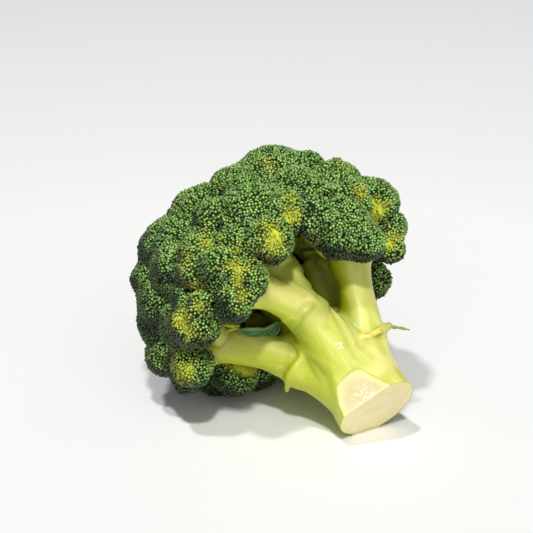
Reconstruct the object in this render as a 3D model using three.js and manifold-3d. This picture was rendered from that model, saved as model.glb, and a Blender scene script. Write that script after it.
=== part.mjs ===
// A cut head of broccoli, lying on its side: one fused stalk, a crown of separate florets
// whose buds stand out in relief, and two small leaf remnants.
// Millimetres, +Z up. The stem points along +X; the part lies on the plane Z = 0.

import * as THREE from 'three';
import { ConvexHull } from 'three/addons/math/ConvexHull.js';
import { mergeVertices } from 'three/addons/utils/BufferGeometryUtils.js';
import Module from 'manifold-3d';

// ---- Driving dimensions -----------------------------------------------------------------

const STEM_LEAN = 32; // degrees that the stem axis rises from the cut end to the crown
const CROWN_CENTRE = new THREE.Vector3(-1.6, 1.8, 63); // middle of the crown's dome
const CROWN_HEIGHT = 81; // from the cut face to the crown's centre, along the stem
const CROWN_RADIUS = 81; // from the crown's centre to the outside of its florets
const CROWN_RIM = 108; // degrees from the crown's top to its lowest florets
const FLOOR_FLAT = 1.8; // how far the lowest florets are pressed flat on the surface
const RIM_TUCK = 0.45; // how far a lobe draws in from the surface for each degree past the rim

const GAP = 0.3; // clearance between a floret and the stalk
const FLORET_GAP = 0.25; // half of it on each side, between two florets
const BUD_SPACING = 6.4; // distance between the clustered buds of the relief
const BUD_HEIGHT = 1.3; // how far a bud cluster stands out of its lobe
const SIDE_SPACING = 10.5; // vertex distance on the hidden sides of a floret
const FILL_LOBE_RADIUS = 16.5; // lobes that the crown is filled with
const FILL_OVERLAP = 0.68; // least distance of two filling lobes, as a share of their radii
const CORE_SIZE = 0.55; // a floret's underside, as a share of its lobes' radius
const SHOULDER = 0.6; // radians over which a floret narrows past the edge of a lobe
const CUT_BACK = 0.8; // a surface drawn in further than this by a neighbour bears no buds
const UNDERSIDE = -0.35; // cosine of the angle from the floret's outward side where buds end
const SEED = 20317;

const CUT_DROP = 0.85; // how far below height 0 the cut face crosses the stem's axis
const CUT_TILT = [89, 13.3]; // bearing that the cut face leans towards, and its angle
const BEVEL_MIDDLE = [11.9, 20.4, -54]; // height, distance out and bearing of the second cut
const BEVEL_ANGLE = 76; // degrees between the second cut and the stem's cross section
const BEVEL_REACH = 24; // height at which the second cut runs out
const BEVEL_BLOCK = 120; // side of the block that the second cut takes away

const TRUNK_SIDES = 18;
const BRANCH_SIDES = 12;
const BRANCHLET_SIDES = 7;
const SCAR_SIDES = 6;
const BRANCHLET_RADII = [7, 6, 5.6, 7.4]; // from the branch to the floret

// ---- Frame of the plant -----------------------------------------------------------------
// Positions are given as on a growing plant. AXIS runs from the cut face to the crown's top.
// A bearing turns round it in degrees, from the side that lies uppermost (0) towards +Y (90).

const lean = THREE.MathUtils.degToRad(STEM_LEAN);
const AXIS = new THREE.Vector3(-Math.cos(lean), 0, Math.sin(lean));
const UPPER = new THREE.Vector3(Math.sin(lean), 0, Math.cos(lean));
const ACROSS = new THREE.Vector3(0, 1, 0);
const UP = [0, 0, 1];

function bearingDirection(bearing) {
  const angle = THREE.MathUtils.degToRad(bearing);
  return new THREE.Vector3()
    .addScaledVector(UPPER, Math.cos(angle))
    .addScaledVector(ACROSS, Math.sin(angle));
}

function crownDirection(bearing, polar) {
  const angle = THREE.MathUtils.degToRad(polar);
  return bearingDirection(bearing)
    .multiplyScalar(Math.sin(angle))
    .addScaledVector(AXIS, Math.cos(angle));
}

function onStem(height, out, bearing) {
  return CROWN_CENTRE.clone()
    .addScaledVector(AXIS, height - CROWN_HEIGHT)
    .addScaledVector(bearingDirection(bearing), out);
}

// ---- The plant's plan -------------------------------------------------------------------
// Branches: bearing, then stations of height above the cut, distance out, radius, and how far
// the bearing turns there, if it does.

const TRUNK = {
  bearing: -138,
  stations: [
    [-14, 2, 22.8], [0, 2, 22.8], [10, 0.5, 21], [24, 0, 20.5], [36, 0, 20.5], [48, 0, 18.5],
    [60, 0, 14],
  ],
};

const BRANCHES = {
  left: {
    bearing: -125,
    stations: [
      [10, 2, 15], [26, 7, 15], [40, 13.5, 13.6], [44, 16, 14.3], [48, 18, 12.4], [62, 26, 10],
      [76, 37, 9.5], [87, 47, 10],
    ],
  },
  centre: {
    bearing: -30,
    stations: [
      [4, 1, 16], [22, 8, 16], [38, 14, 14.3], [53, 22, 11.6, -5], [57, 24, 11.8, -7],
      [60, 25, 9.8, -6], [75, 27, 9.2, -1], [90, 24, 10, 8], [100, 20, 11],
    ],
  },
  right: {
    bearing: 30,
    stations: [
      [4, 2, 13], [20, 11.5, 12.8], [30, 18.5, 12], [40, 24.5, 11], [52, 32, 9.8],
      [62, 38.5, 10], [70, 43, 12.5],
    ],
  },
  back: {
    bearing: 78,
    stations: [
      [26, 6, 12], [46, 14, 10.5], [60, 20, 9], [76, 26, 8.5], [89, 33, 9],
    ],
  },
  far: {
    bearing: 142,
    stations: [
      [22, 6, 12], [42, 16, 10.5], [56, 26, 9.5], [70, 37, 9], [82, 45, 9],
    ],
  },
  low: {
    bearing: -172,
    stations: [
      [30, 6, 11], [50, 15, 9.5], [64, 26, 9], [76, 36, 9],
    ],
  },
  core: {
    bearing: 180,
    stations: [
      [40, 0, 14], [60, 2, 12], [76, 4, 11], [92, 4, 10.5], [106, 0, 10],
    ],
  },
};

// Scars where leaves were cut away: ridges and nubs that stand out of the branches, given as
// height, distance out, bearing and radius.
const SCARS = [
  [[28, 23, -4, 1.4], [27, 30, 14, 1.9], [28, 31, 32, 2.1], [29.5, 33.5, 46, 2.2]],
  [[45, 17, -98, 1.2], [44, 25, -124, 1.5], [43, 31, -146, 1.8], [42.5, 33, -150, 1.1]],
];

// Florets: the branch each grows from, how far along it (0 to 1), and its lobes as bearing,
// degrees from the crown's top, distance from the crown's centre, and radius. Its branchlet is
// thicker than the others by its girth, if it has one. A floret with a head also takes the
// filling lobes nearest to that bearing and angle.

const FLORETS = {
  floret_top: {
    branch: 'centre',
    fork: 0.9,
    lobes: [[12, 44, 65, 21], [-12, 31, 66, 14], [22, 57, 69, 15], [-20, 49, 66, 11]],
  },
  floret_upper: {
    branch: 'right',
    fork: 0.95,
    lobes: [[27, 70, 67, 17], [18, 84, 67, 13], [0, 80, 67, 10], [0, 67, 65, 14]],
  },
  floret_upper_right: {
    branch: 'right',
    fork: 0.85,
    lobes: [[35, 88, 71, 16]],
  },
  floret_right: {
    branch: 'back',
    fork: 0.8,
    lobes: [[38, 98, 70, 12], [34, 109, 66, 9]],
  },
  floret_right_low: {
    branch: 'back',
    fork: 0.45,
    lobes: [[73, 108, 56, 11]],
  },
  floret_front_right: {
    branch: 'right',
    fork: 0.9,
    lobes: [[2, 94, 62, 17], [-12, 86, 68, 12], [8, 106, 66, 11]],
  },
  floret_front: {
    branch: 'centre',
    fork: 0.8,
    girth: 1.35,
    lobes: [[-30, 65, 64, 17], [-35, 85, 68, 12], [-19, 80, 69, 11], [-47, 75, 66, 9]],
  },
  floret_upper_left: {
    branch: 'centre',
    fork: 0.95,
    lobes: [[-54, 27, 65, 17], [-46, 56, 67, 13], [-38, 30, 67, 12]],
  },
  floret_left: {
    branch: 'left',
    fork: 0.95,
    lobes: [[-90, 36, 69, 17], [-81, 57, 66, 15], [-74, 42, 68, 13]],
  },
  floret_left_mid: {
    branch: 'left',
    fork: 1,
    lobes: [[-108, 47, 71, 14], [-103, 61, 68, 13], [-119, 62, 67, 15]],
  },
  floret_inner: {
    branch: 'centre',
    fork: 0.7,
    girth: 1.25,
    lobes: [[-61, 65, 68, 12], [-69, 73, 69, 10]],
  },
  floret_front_low: {
    branch: 'centre',
    fork: 0.42,
    girth: 1.6,
    lobes: [[-59, 80, 66, 13], [-53, 91, 68, 11], [-64, 95, 69, 10]],
  },
  floret_left_low: {
    branch: 'left',
    fork: 0.85,
    lobes: [[-85, 86, 68, 13], [-74, 86, 72, 7], [-97, 80, 67, 11], [-80, 74, 66, 9]],
  },
  floret_corner: {
    branch: 'left',
    fork: 0.8,
    lobes: [[-126, 77, 71, 12], [-109, 94, 68, 11], [-125, 92, 71, 7], [-141, 84, 66, 11]],
  },
  floret_shade: {
    branch: 'low',
    fork: 0.8,
    lobes: [[-152, 100, 50, 13]],
  },
  floret_far_top: {
    branch: 'core',
    fork: 0.95,
    head: [60, 30],
  },
  floret_far_crown: {
    branch: 'core',
    fork: 0.95,
    head: [170, 22],
  },
  floret_far_upper: {
    branch: 'back',
    fork: 1,
    head: [72, 66],
    lobes: [[91, 41, 65, 14.3], [44, 57, 66, 13]],
  },
  floret_far_back: {
    branch: 'back',
    fork: 0.8,
    head: [95, 92],
  },
  floret_far_mid: {
    branch: 'far',
    fork: 1,
    head: [118, 60],
  },
  floret_far_side: {
    branch: 'far',
    fork: 0.9,
    head: [128, 92],
  },
  floret_far_base: {
    branch: 'far',
    fork: 0.9,
    head: [160, 66],
  },
  floret_far_low: {
    branch: 'low',
    fork: 0.9,
    head: [163, 96],
    lobes: [[157, 86, 66, 15]],
  },
  floret_base: {
    branch: 'low',
    fork: 1,
    head: [-158, 62],
  },
  floret_base_low: {
    branch: 'low',
    fork: 1,
    head: [-165, 90],
    lobes: [[-167, 86, 67, 15]],
  },
};

// Leaf remnants: the middle line as height, distance out and bearing, and half widths.
const LEAF_THICKNESS = 0.9;
const WAVE_STEP = 2.1; // radians of an edge's wave for each step along a leaf
const CURLED_LEAF = {
  path: [[82, 35, -106], [75, 29, -102], [70, 20, -98], [70, 13, -88]],
  halfWidths: [1.6, 3.4, 4.6, 5, 4.8, 4, 2.6, 1],
  across: new THREE.Vector3(0.1, -0.5, 0.85),
  cup: 0.5,
  wave: 0.5,
  stalks: [
    [[80, 33, -104, 1.4], [86, 38, -107, 1.1], [91, 43, -114, 1.2], [92, 47, -120, 1.3]],
    [[81, 34, -106, 1.2], [84, 40, -112, 1], [86, 46, -120, 1.1]],
  ],
};
const LEAF_TIP = {
  path: [[29.5, 31, 44], [28.5, 36, 49], [26, 40, 55], [23, 43, 60]],
  halfWidths: [1.6, 1.5, 1.3, 1, 0.7],
  across: new THREE.Vector3(0.6, 0.5, 0.6),
  cup: 0.15,
  wave: 0,
};

const FAR_SIDE = crownDirection(132, 62); // the crown's far side, filled by rule

// ---- Solids and geometries --------------------------------------------------------------

const manifold = await Module();
manifold.setup();

function toSolid(geometry) {
  const bare = new THREE.BufferGeometry();
  bare.setAttribute('position', geometry.getAttribute('position'));
  if (geometry.index) {
    bare.setIndex(geometry.index);
  }
  const merged = mergeVertices(bare, 1e-4);
  const mesh = new manifold.Mesh({
    numProp: 3,
    vertProperties: Float32Array.from(merged.getAttribute('position').array),
    triVerts: Uint32Array.from(merged.index.array),
  });
  return new manifold.Manifold(mesh);
}

function toGeometry(solid) {
  const mesh = solid.getMesh();
  const geometry = new THREE.BufferGeometry();
  geometry.setAttribute('position', new THREE.BufferAttribute(mesh.vertProperties, 3));
  geometry.setIndex(new THREE.BufferAttribute(mesh.triVerts, 1));
  geometry.computeVertexNormals();
  return geometry;
}

function meshGeometry(points, faces) {
  const geometry = new THREE.BufferGeometry();
  const numbers = points.flatMap((point) => point.toArray());
  geometry.setAttribute('position', new THREE.Float32BufferAttribute(numbers, 3));
  geometry.setIndex(faces.flat());
  return geometry;
}

function union(solids) {
  return solids.reduce((whole, solid) => whole.add(solid));
}

// A seeded draw between 0 and 1.
function makeRandom(seed) {
  let state = seed;
  return () => {
    state = (state * 1664525 + 1013904223) % 4294967296;
    return state / 4294967296;
  };
}

// ---- Stalk ------------------------------------------------------------------------------

// A closed tube with one ring of vertices at each station, round a smooth curve.
function taperedTube(points, radii, sides, grow, phase = 0) {
  const curve = new THREE.CatmullRomCurve3(points, false, 'centripetal');
  const last = points.length - 1;
  const start = curve.getTangent(0);
  const helper = Math.abs(start.y) < 0.8 ? ACROSS : UPPER;
  let side = new THREE.Vector3().crossVectors(start, helper).normalize();
  const vertices = [];
  const faces = [];
  for (let station = 0; station <= last; station += 1) {
    const tangent = curve.getTangent(station / last);
    side = side.clone().addScaledVector(tangent, -side.dot(tangent)).normalize();
    const other = new THREE.Vector3().crossVectors(tangent, side);
    const endShift = station === 0 ? -grow : station === last ? grow : 0;
    for (let k = 0; k < sides; k += 1) {
      const angle = (2 * Math.PI * (k + phase)) / sides;
      vertices.push(points[station].clone()
        .addScaledVector(tangent, endShift)
        .addScaledVector(side, (radii[station] + grow) * Math.cos(angle))
        .addScaledVector(other, (radii[station] + grow) * Math.sin(angle)));
      if (station < last) {
        const a = station * sides + k;
        const b = station * sides + ((k + 1) % sides);
        faces.push([a, b, b + sides], [a, b + sides, a + sides]);
      }
    }
  }
  for (let k = 1; k < sides - 1; k += 1) {
    faces.push([0, k + 1, k]);
    faces.push([last * sides, last * sides + k, last * sides + k + 1]);
  }
  return toSolid(meshGeometry(vertices, faces));
}

function branchPoints(branch) {
  return branch.stations.map(([height, out, , turn = 0]) => (
    onStem(height, out, branch.bearing + turn)));
}

function stationRadii(branch) {
  return branch.stations.map((station) => station[2]);
}

// The branchlet that carries a floret: it leaves its branch along it and flares at its end.
function branchletStations(floret) {
  const branch = BRANCHES[floret.branch];
  const curve = new THREE.CatmullRomCurve3(branchPoints(branch), false, 'centripetal');
  const root = curve.getPoint(floret.fork);
  const along = curve.getTangent(floret.fork);
  const seat = floret.seat;
  const span = root.distanceTo(seat);
  const bend = root.clone().addScaledVector(along, span * 0.35);
  const middle = bend.clone().lerp(seat, 0.45);
  return {
    points: [root, root.clone().lerp(middle, 0.5).lerp(bend, 0.35), middle, seat],
    radii: BRANCHLET_RADII.map((radius) => radius * floret.girth),
  };
}

function makeStalk(florets, grow) {
  const parts = [taperedTube(branchPoints(TRUNK), stationRadii(TRUNK), TRUNK_SIDES, grow)];
  for (const branch of Object.values(BRANCHES)) {
    parts.push(taperedTube(branchPoints(branch), stationRadii(branch), BRANCH_SIDES, grow));
  }
  for (const floret of florets) {
    const { points, radii } = branchletStations(floret);
    parts.push(taperedTube(points, radii, BRANCHLET_SIDES, grow));
  }
  for (const scar of SCARS) {
    parts.push(taperedTube(scar.map((row) => onStem(...row)), scar.map((row) => row[3]), SCAR_SIDES, grow));
  }
  return union(parts);
}

// A plane across the stem, leaning towards a bearing.
function crossPlane(bearing, angle) {
  const turn = THREE.MathUtils.degToRad(angle);
  return bearingDirection(bearing).multiplyScalar(Math.sin(turn)).addScaledVector(AXIS, Math.cos(turn));
}

// The knife's two cuts, and the flat spot at the stem's lower corner.
function cutStalk(stalk) {
  const face = crossPlane(...CUT_TILT);
  const bevel = crossPlane(BEVEL_MIDDLE[2], -BEVEL_ANGLE);
  const slice = manifold.Manifold.cube([BEVEL_BLOCK, BEVEL_BLOCK, BEVEL_BLOCK], true)
    .translate(onStem(...BEVEL_MIDDLE).toArray())
    .trimByPlane(bevel.clone().negate().toArray(), -bevel.dot(onStem(...BEVEL_MIDDLE)))
    .trimByPlane(AXIS.clone().negate().toArray(), -AXIS.dot(onStem(BEVEL_REACH, 0, 0)));
  return stalk
    .trimByPlane(face.toArray(), face.dot(onStem(-CUT_DROP, 0, 0)))
    .subtract(slice)
    .trimByPlane(UP, 0);
}

// ---- Florets ----------------------------------------------------------------------------

// A lobe keeps off the surface below it, but for the small flat where it is pressed on it.
function makeLobe([bearing, polar, reach, radius]) {
  const direction = crownDirection(bearing, polar);
  const lowest = CROWN_CENTRE.z + direction.z * reach - radius;
  const bottom = Math.max(0, polar - 90) * RIM_TUCK - FLOOR_FLAT;
  const shorter = lowest < bottom ? (bottom - lowest) / -direction.z : 0;
  return { centre: CROWN_CENTRE.clone().addScaledVector(direction, reach - shorter), radius };
}

function fibonacciSphere(count) {
  const golden = Math.PI * (3 - Math.sqrt(5));
  return Array.from({ length: count }, (_, k) => {
    const z = 1 - (2 * (k + 0.5)) / count;
    const ring = Math.sqrt(1 - z * z);
    return new THREE.Vector3(ring * Math.cos(k * golden), ring * Math.sin(k * golden), z);
  });
}

// Fills the far side of the crown with lobes, each given to the floret whose head is nearest.
function fillFarSide(florets) {
  const random = makeRandom(SEED);
  const placed = florets.flatMap((floret) => floret.lobes);
  const heads = florets.filter((floret) => floret.head);
  for (const probe of fibonacciSphere(900)) {
    const direction = new THREE.Vector3()
      .addScaledVector(AXIS, probe.z)
      .addScaledVector(UPPER, probe.x)
      .addScaledVector(ACROSS, probe.y);
    const polar = THREE.MathUtils.radToDeg(Math.acos(probe.z));
    const bearing = THREE.MathUtils.radToDeg(Math.atan2(probe.y, probe.x));
    const radius = FILL_LOBE_RADIUS * (0.82 + 0.3 * random());
    const reach = CROWN_RADIUS - radius - 4 * random();
    if (polar > CROWN_RIM || (polar > 70 && direction.dot(FAR_SIDE) < 0.12)) {
      continue;
    }
    const lobe = makeLobe([bearing, polar, reach, radius]);
    const crowded = placed.some((other) => (
      other.centre.distanceTo(lobe.centre) < FILL_OVERLAP * (other.radius + radius)));
    if (crowded) {
      continue;
    }
    placed.push(lobe);
    const nearest = heads.reduce((best, floret) => (
      direction.dot(floret.direction) > direction.dot(best.direction) ? floret : best));
    nearest.lobes.push(lobe);
  }
}

function planFlorets() {
  const florets = Object.entries(FLORETS).map(([name, plan]) => ({
    name,
    branch: plan.branch,
    fork: plan.fork,
    girth: plan.girth ?? 1,
    head: plan.head,
    direction: plan.head ? crownDirection(...plan.head) : null,
    lobes: (plan.lobes ?? []).map(makeLobe),
  }));
  fillFarSide(florets);
  for (const floret of florets) {
    const count = floret.lobes.length;
    const size = floret.lobes.reduce((sum, lobe) => sum + lobe.radius, 0) / count;
    const middle = new THREE.Vector3();
    floret.lobes.forEach((lobe) => middle.addScaledVector(lobe.centre, 1 / count));
    const spread = Math.max(...floret.lobes.map((lobe) => lobe.centre.distanceTo(middle)));
    floret.outward = middle.clone().sub(CROWN_CENTRE).normalize();
    floret.core = size * CORE_SIZE;
    floret.centre = middle.clone().addScaledVector(floret.outward, -0.25 * size - 0.35 * spread);
    floret.seat = floret.centre.clone().addScaledVector(floret.outward, -floret.core / 2);
  }
  return florets;
}

// Distance from a floret's centre to the outside of its lobes, in a direction. Past a lobe's
// edge the floret narrows towards its branchlet.
function lobeReach(floret, direction) {
  let reach = floret.core;
  let onLobe = false;
  for (const lobe of floret.lobes) {
    const offset = lobe.centre.clone().sub(floret.centre);
    const along = offset.dot(direction);
    const apart = offset.lengthSq() - along * along;
    const square = lobe.radius * lobe.radius;
    if (apart <= square) {
      const exit = along + Math.sqrt(square - apart);
      if (exit > reach) {
        reach = exit;
        onLobe = true;
      }
    } else if (along > 0) {
      const distance = offset.length();
      const edge = Math.asin(Math.min(1, lobe.radius / distance));
      const past = Math.acos(along / distance) - edge;
      const edgeReach = Math.sqrt(Math.max(0, distance * distance - square));
      const slope = edgeReach * Math.exp(-((past / SHOULDER) ** 2));
      if (slope > reach) {
        reach = slope;
        onLobe = false;
      }
    }
  }
  return { reach, onLobe };
}

// How far a point is inside the space of its own floret, which ends half way to the others.
function clearance(floret, point) {
  let own = Infinity;
  let owner = null;
  for (const lobe of floret.lobes) {
    const power = point.distanceToSquared(lobe.centre) - lobe.radius ** 2;
    if (power < own) {
      own = power;
      owner = lobe;
    }
  }
  let least = Infinity;
  for (const lobe of floret.rivals) {
    const power = point.distanceToSquared(lobe.centre) - lobe.radius ** 2;
    least = Math.min(least, (power - own) / (2 * owner.centre.distanceTo(lobe.centre)) - FLORET_GAP / 2);
  }
  return least;
}

function pointAt(floret, direction, reach) {
  return floret.centre.clone().addScaledVector(direction, reach);
}

// The longest reach in a direction that stays in the floret's own space.
function clearReach(floret, direction, wanted) {
  const step = 0.7;
  let reach = 1;
  while (reach < wanted && clearance(floret, pointAt(floret, direction, reach)) >= 0) {
    reach += step;
  }
  if (reach >= wanted && clearance(floret, pointAt(floret, direction, wanted)) >= 0) {
    return wanted;
  }
  let low = Math.max(1, reach - step);
  let high = Math.min(reach, wanted);
  for (let k = 0; k < 8; k += 1) {
    const middle = (low + high) / 2;
    if (clearance(floret, pointAt(floret, direction, middle)) >= 0) {
      low = middle;
    } else {
      high = middle;
    }
  }
  return low;
}

function surfaceVertex(floret, direction, lift) {
  const { reach, onLobe } = lobeReach(floret, direction);
  const bare = clearReach(floret, direction, reach);
  const facing = direction.dot(floret.outward);
  const exposed = onLobe && bare > reach - CUT_BACK && facing > UNDERSIDE;
  const full = exposed && lift > 0 ? clearReach(floret, direction, reach + lift) : bare;
  return { direction, reach: full, exposed };
}

const CLOSEST_TURN = 0.985; // cosine of the least angle between two vertices

// Vertices spread evenly: close together where buds show, further apart on hidden sides.
function spreadVertices(floret) {
  const kept = [];
  for (const direction of fibonacciSphere(1500)) {
    const vertex = surfaceVertex(floret, direction, 0);
    vertex.point = pointAt(floret, direction, vertex.reach);
    const spacing = vertex.exposed ? BUD_SPACING : SIDE_SPACING;
    const crowded = kept.some((other) => {
      const least = Math.min(spacing, other.exposed ? BUD_SPACING : SIDE_SPACING);
      return other.point.distanceTo(vertex.point) < least || other.direction.dot(direction) > CLOSEST_TURN;
    });
    if (!crowded) {
      kept.push(vertex);
    }
  }
  return kept;
}

// The floret's surface: every bud is a low pyramid whose foot lies in the valleys round it.
function floretSurface(floret) {
  const vertices = spreadVertices(floret).map((vertex) => (
    vertex.exposed ? surfaceVertex(floret, vertex.direction, BUD_HEIGHT) : vertex));
  const hull = new ConvexHull().setFromPoints(vertices.map((vertex) => vertex.direction));
  const indexOf = new Map(vertices.map((vertex, k) => [vertex.direction, k]));
  const triangles = hull.faces.map((face) => {
    const corners = [];
    let edge = face.edge;
    do {
      corners.push(indexOf.get(edge.head().point));
      edge = edge.next;
    } while (edge !== face.edge);
    return corners;
  });
  const valleys = triangles.map((corners) => {
    if (!corners.every((k) => vertices[k].exposed)) {
      return null;
    }
    const direction = new THREE.Vector3();
    corners.forEach((k) => direction.add(vertices[k].direction));
    vertices.push(surfaceVertex(floret, direction.normalize(), 0));
    return vertices.length - 1;
  });
  return { vertices, faces: splitFaces(vertices, triangles, valleys) };
}

const LEAST_TURN = 1e-5;

// Positive where three directions run anticlockwise, seen from outside.
function turn(vertices, a, b, c) {
  const normal = new THREE.Vector3().crossVectors(vertices[b].direction, vertices[c].direction);
  return vertices[a].direction.dot(normal);
}

// Joins each bud to the valleys round it; an edge between two buds is swapped for the valley.
function splitFaces(vertices, triangles, valleys) {
  const across = new Map();
  triangles.forEach((corners, k) => {
    corners.forEach((a, side) => across.set(`${a},${corners[(side + 1) % 3]}`, valleys[k]));
  });
  const faces = [];
  triangles.forEach((corners, k) => {
    const valley = valleys[k];
    if (valley === null) {
      faces.push(corners);
      return;
    }
    corners.forEach((a, side) => {
      const b = corners[(side + 1) % 3];
      const beyond = across.get(`${b},${a}`);
      const swaps = beyond !== null
        && turn(vertices, a, beyond, valley) > LEAST_TURN
        && turn(vertices, b, valley, beyond) > LEAST_TURN;
      if (!swaps) {
        faces.push([a, b, valley]);
      } else if (a < b) {
        faces.push([a, beyond, valley], [b, valley, beyond]);
      }
    });
  });
  return faces;
}

// Points spread evenly over a triangle, as shares of its corners.
function triangleSamples(order) {
  const samples = [];
  for (let a = 0; a <= order; a += 1) {
    for (let b = 0; b <= order - a; b += 1) {
      samples.push([a / order, b / order, (order - a - b) / order]);
    }
  }
  return samples;
}

// Draws vertices in until no face bulges into a neighbour's space.
function tuckFaces(floret, vertices, faces) {
  const weights = triangleSamples(6);
  for (let round = 0; round < 60; round += 1) {
    let tucked = false;
    for (const corners of faces) {
      const points = corners.map((k) => pointAt(floret, vertices[k].direction, vertices[k].reach));
      const crosses = weights.some((weight) => {
        const sample = new THREE.Vector3();
        points.forEach((point, k) => sample.addScaledVector(point, weight[k]));
        return clearance(floret, sample) < -FLORET_GAP / 4;
      });
      if (crosses) {
        tucked = true;
        corners.forEach((k) => {
          vertices[k].reach = Math.max(1, vertices[k].reach - 0.25);
        });
      }
    }
    if (!tucked) {
      return;
    }
  }
}

function makeFloret(floret, stalkSpace) {
  const { vertices, faces } = floretSurface(floret);
  tuckFaces(floret, vertices, faces);
  const points = vertices.map((vertex) => pointAt(floret, vertex.direction, vertex.reach));
  const whole = toSolid(meshGeometry(points, faces));
  return largestBody(whole.subtract(stalkSpace).trimByPlane(UP, 0));
}

// ---- Leaves -----------------------------------------------------------------------------

// A thin blade along a smooth curve, cupped across its width and waved along its edges.
function makeBlade({ path, halfWidths, across, cup, wave }) {
  const curve = new THREE.CatmullRomCurve3(path.map((row) => onStem(...row)), false, 'centripetal');
  const steps = halfWidths.length - 1;
  const columns = [-1, -0.5, 0, 0.5, 1];
  const width = columns.length;
  const sheets = [[], []];
  for (let step = 0; step <= steps; step += 1) {
    const tangent = curve.getTangent(step / steps);
    const side = across.clone().addScaledVector(tangent, -across.dot(tangent)).normalize();
    const face = new THREE.Vector3().crossVectors(tangent, side);
    for (const column of columns) {
      const rise = cup * column * column * halfWidths[step] + wave * column * Math.sin(WAVE_STEP * step);
      const point = curve.getPoint(step / steps)
        .addScaledVector(side, column * halfWidths[step])
        .addScaledVector(face, rise);
      sheets[0].push(point.clone().addScaledVector(face, LEAF_THICKNESS / 2));
      sheets[1].push(point.clone().addScaledVector(face, -LEAF_THICKNESS / 2));
    }
  }
  const under = sheets[0].length;
  const faces = [];
  const rim = [];
  for (let step = 0; step < steps; step += 1) {
    for (let k = 0; k < width - 1; k += 1) {
      const a = step * width + k;
      const b = a + 1;
      const c = a + width;
      const d = c + 1;
      faces.push([a, c, b], [b, c, d]);
      faces.push([a + under, b + under, c + under], [b + under, d + under, c + under]);
    }
  }
  for (let k = 0; k < width; k += 1) {
    rim.push(k);
  }
  for (let step = 1; step <= steps; step += 1) {
    rim.push(step * width + width - 1);
  }
  for (let k = width - 2; k >= 0; k -= 1) {
    rim.push(steps * width + k);
  }
  for (let step = steps - 1; step >= 1; step -= 1) {
    rim.push(step * width);
  }
  rim.forEach((a, k) => {
    const b = rim[(k + 1) % rim.length];
    faces.push([a, b, b + under], [a, b + under, a + under]);
  });
  return toSolid(meshGeometry([...sheets[0], ...sheets[1]], faces));
}

function largestBody(solid) {
  return solid.decompose().reduce((largest, body) => (body.volume() > largest.volume() ? body : largest));
}

// The curled leaf in the fork of the left branch, on two thin stalks of its own.
function makeCurledLeaf(stalkSpace) {
  const parts = [makeBlade(CURLED_LEAF)];
  for (const stalk of CURLED_LEAF.stalks) {
    parts.push(taperedTube(stalk.map((row) => onStem(...row)), stalk.map((row) => row[3]), SCAR_SIDES, 0));
  }
  return largestBody(union(parts).subtract(stalkSpace));
}

function makeLeafTip(stalkSpace) {
  return largestBody(makeBlade(LEAF_TIP).subtract(stalkSpace));
}

// ---- Assembly ---------------------------------------------------------------------------

const STALK_LOOK = { color: 0xc9d77a, roughness: 0.42, metalness: 0 };
const LEAF_LOOK = { color: 0x4f8a5a, roughness: 0.5, metalness: 0 };
const FLORET_LOOK = { color: 0x2f6b34, roughness: 0.6, metalness: 0 };

function makeMesh(name, geometry, look) {
  const mesh = new THREE.Mesh(geometry, new THREE.MeshStandardMaterial({ ...look, flatShading: true }));
  mesh.name = name;
  return mesh;
}

const broccoli = new THREE.Group();
const florets = planFlorets();
for (const floret of florets) {
  floret.rivals = florets
    .filter((other) => other !== floret)
    .flatMap((other) => other.lobes)
    .filter((lobe) => floret.lobes.some((own) => own.centre.distanceTo(lobe.centre) < 70));
}
broccoli.add(makeMesh('stalk', toGeometry(cutStalk(makeStalk(florets, 0))), STALK_LOOK));
const stalkSpace = makeStalk(florets, GAP);
broccoli.add(makeMesh('curled_leaf', toGeometry(makeCurledLeaf(stalkSpace)), LEAF_LOOK));
broccoli.add(makeMesh('leaf_tip', toGeometry(makeLeafTip(stalkSpace)), LEAF_LOOK));
for (const floret of florets) {
  broccoli.add(makeMesh(floret.name, toGeometry(makeFloret(floret, stalkSpace)), FLORET_LOOK));
}

export default broccoli;
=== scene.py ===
"""A broccoli head lying on the edge of its crown and on the lower corner of its cut stem.

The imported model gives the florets, the leaf remnants and the stalk their places. Here the
stalk is grown as one smooth body, each floret is covered with buds, and everything gets its
finish. Lengths inside the classes are millimetres, and meshes are made in metres.
"""

import logging
import math
from collections.abc import Iterator
from contextlib import contextmanager
from dataclasses import dataclass, field
from enum import Enum
from functools import reduce
from itertools import product

import bmesh
import bpy
import numpy as np
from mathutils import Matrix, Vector
from mathutils.bvhtree import BVHTree


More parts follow.
